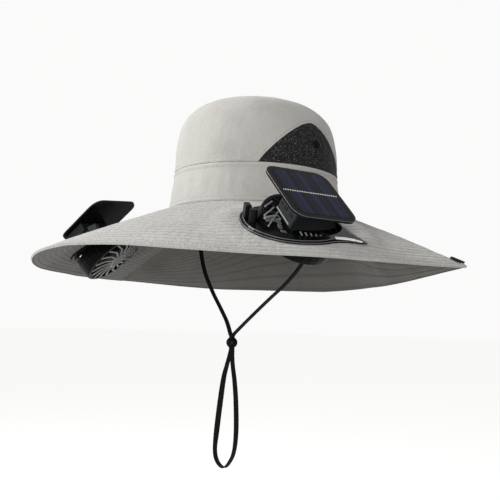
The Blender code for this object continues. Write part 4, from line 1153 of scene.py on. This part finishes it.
LEFT_HEAD, LEFT_PANEL, LEFT_FAN = head_frame(1), panel_frame(1), fan_frame(1)
head_up = (LEFT_HEAD.to_3x3() @ Vector((0, 0, 1))).normalized()
# Struts of the near cage; their light grey paints the highlights that run along them.
STRUTS = [
    {"x0": 265.0, "y0": 206.5, "x1": 272.0, "y1": 201.5, "wide": 1.3},
    {"x0": 264.5, "y0": 215.5, "x1": 274.0, "y1": 207.5, "wide": 1.5},
    {"x0": 268.5, "y0": 226.0, "x1": 278.0, "y1": 212.0, "wide": 1.3},
    {"x0": 264.5, "y0": 218.0, "x1": 276.5, "y1": 215.5, "wide": 2.2},
]
PLATES = [
    {"x0": 265.5, "y0": 219.0, "x1": 271.5, "y1": 220.0, "wide": 5.5},
    {"x0": 278.5, "y0": 220.0, "x1": 280.5, "y1": 228.5, "wide": 3.4},
    {"x0": 281.0, "y0": 231.5, "x1": 286.5, "y1": 232.5, "wide": 3.4},
]
top_of_cage = lambda x, y: on_plane(x, y, LEFT_HEAD, 11.1 * MM)
add_bars("cage_struts_left", STRUTS, top_of_cage, head_up, SILVER_HIGHLIGHT, "head_left", 1.6 * MM)
add_bars("cage_plates_left", PLATES, lambda x, y: on_plane(x, y, LEFT_HEAD, 10.6 * MM), head_up, RIM, "head_left", 1.0 * MM)

# The front of the battery box: a light bar painting the highlight on its lower edge, and square openings as
# near-black plates painting the shade inside them.
front_face = LEFT_PANEL @ Matrix.Translation((0, -29.2 * MM, 0)) @ Matrix.Rotation(math.radians(90), 4, "X")
face_out = (LEFT_PANEL.to_3x3() @ Vector((0, -1, 0))).normalized()
on_front = lambda x, y: on_plane(x, y, front_face, 0.0)
add_bars("box_edge_highlight_left", [{"x0": 277.0, "y0": 206.5, "x1": 288.5, "y1": 224.5, "wide": 1.1}], on_front, face_out, SILVER_HIGHLIGHT, "head_left", 0.8 * MM)
add_bars(
    "box_openings_left",
    [
        {"x0": 284.0, "y0": 207.0, "x1": 287.0, "y1": 209.5, "wide": 3.0},
        {"x0": 289.5, "y0": 214.0, "x1": 291.8, "y1": 217.0, "wide": 2.8},
        {"x0": 281.5, "y0": 202.0, "x1": 283.0, "y1": 204.0, "wide": 2.0},
    ],
    on_front, face_out, RECESS_SHADE, "head_left", 0.5 * MM,
)
# A fine moulded lip round each tray, light grey to paint the highlight along the tray's edge.
for side, word in ((1, "left"), (-1, "right")):
    m = panel_frame(side)
    ring = []
    for cx, cy, start in ((24.0, 22.0, 0), (-24.0, 22.0, 90), (-24.0, -22.0, 180), (24.0, -22.0, 270)):
        for k in range(9):
            a = math.radians(start + 90 * k / 8)
            ring.append(m @ (Vector((cx + 12.0 * math.cos(a), cy + 12.0 * math.sin(a), -0.5)) * MM))
    bm = bmesh.new()
    tube(bm, ring, 0.38 * MM, 8, closed=True)
    lip = new_object("tray_highlight_lip_" + word, close_mesh(bm, "tray_highlight_lip"), RIM)
    lip.data.shade_smooth()
    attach(lip, "head_" + word)

# Small slanted slots on the barrel's outer side, light grey to paint the highlights they catch.
ball = LEFT_HEAD.translation.copy()
SLOTS = [{"x": 300.0 + 5.2 * k, "y": 231.5 + 0.9 * k} for k in range(5)]
bm = bmesh.new()
for row in SLOTS:
    a = on_ball(row["x"], row["y"], ball, 39.0 * MM)
    b = on_ball(row["x"] + 2.6, row["y"] + 4.6, ball, 39.0 * MM)
    bar(bm, a, b, 1.1 * MM, 0.6 * MM, ((a + b) / 2 - ball).normalized())
slots = new_object("barrel_slot_highlights_left", close_mesh(bm, "barrel_slot_highlights_left"), RIM)
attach(slots, "head_left")


# Flange: two raised lips round its outline, light grey to paint the reflections along its glossy rim, and a pale
# strip painting the highlight on its tail.
def flange_outline(side, inset=0.0):
    half_b, half_o = (47.0 - inset) * MM, (54.3 - inset) * MM
    points = []
    for k in range(61):
        a = math.radians(0 - 300 * k / 60)
        full = 1 + 0.065 * max(0.0, -math.sin(2 * a)) * (math.sin(a) > 0)
        points.append((1.5 * MM + half_o * full * math.sin(a), -5.3 * MM + half_b * full * math.cos(a)))
    tip = Vector((46.0 - inset * 0.6, 49.5 - inset * 2.2)) * MM
    start = Vector(points[-1])
    for k in range(1, 9):
        t = k / 8
        bend = Vector((43.0 - inset, 31.0 - inset)) * MM
        p = start * (1 - t) ** 2 + bend * 2 * t * (1 - t) + (tip + Vector((1.0 * MM, 0))) * t * t
        points.append((p.x, p.y))
    end = Vector(points[0])
    for k in range(0, 8):
        t = k / 8
        bend = Vector((24.0, 43.5 - inset)) * MM
        p = (tip - Vector((1.0 * MM, 0))) * (1 - t) ** 2 + bend * 2 * t * (1 - t) + end * t * t
        points.append((p.x, p.y))
    return [(x, side * y) for x, y in points]


for side, word in ((1, "left"), (-1, "right")):
    fan = fan_frame(side)
    for part, inset, height, radius in (("outer", 0.5, 1.35, 0.45), ("inner", 3.3, 2.55, 0.42)):
        bm = bmesh.new()
        ring = []
        for x, y in flange_outline(side, inset):
            out = max(1.0, 40.3 * MM / math.hypot(x, y))  # clear of the barrel
            ring.append(fan @ Vector((x * out, y * out, height * MM)))
        tube(bm, ring, radius * MM, 8, closed=True)
        lip = new_object("flange_highlight_lip_%s_%s" % (part, word), close_mesh(bm, "lip"), RIM)
        lip.data.shade_smooth()
        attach(lip, "root")
fan_up = (LEFT_FAN.to_3x3() @ Vector((0, 0, 1))).normalized()
# Pale strips on the near flange's tail paint its highlight.
add_bars(
    "tail_highlight_strip_left",
    [
        {"x0": 335.5, "y0": 237.9, "x1": 348.0, "y1": 238.9, "wide": 6.0},
        {"x0": 347.6, "y0": 238.9, "x1": 355.5, "y1": 240.4, "wide": 5.0},
        {"x0": 355.2, "y0": 240.3, "x1": 362.5, "y1": 242.2, "wide": 3.0},
    ],
    lambda x, y: on_plane(x, y, LEFT_FAN, 3.0 * MM), fan_up, TAIL_HIGHLIGHT, "root", 0.6 * MM,
)

# Switch block: a dark oval plate painting the shade in its slot, and a light bar beside it.
for side, word in ((1, "left"), (-1, "right")):
    fan = fan_frame(side)
    outward = (fan.to_3x3() @ Vector((1, 0, 0))).normalized()
    bm = bmesh.new()
    ring = []
    for k in range(20):
        a = 2 * math.pi * k / 20
        ring.append((1.0 * MM * math.cos(a), 2.2 * MM * math.sin(a) + (1.6 * MM if math.sin(a) > 0 else -1.6 * MM)))
    add_rings(bm, [[fan @ Vector((x, side * -45.9 * MM + u, 9.4 * MM + v)) for u, v in ring] for x in (-0.4 * MM, 0.25 * MM)])
    slot = new_object("switch_slot_" + word, close_mesh(bm, "switch_slot"), RECESS_SHADE)
    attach(slot, "root")
    bm = bmesh.new()
    a = fan @ Vector((0.3 * MM, side * -43.0 * MM, 3.4 * MM))
    b = fan @ Vector((0.3 * MM, side * -43.0 * MM, 13.4 * MM))
    bar(bm, a, b, 1.0 * MM, 0.8 * MM, outward)
    strip = new_object("switch_strip_" + word, close_mesh(bm, "switch_strip"), RIM)
    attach(strip, "root")
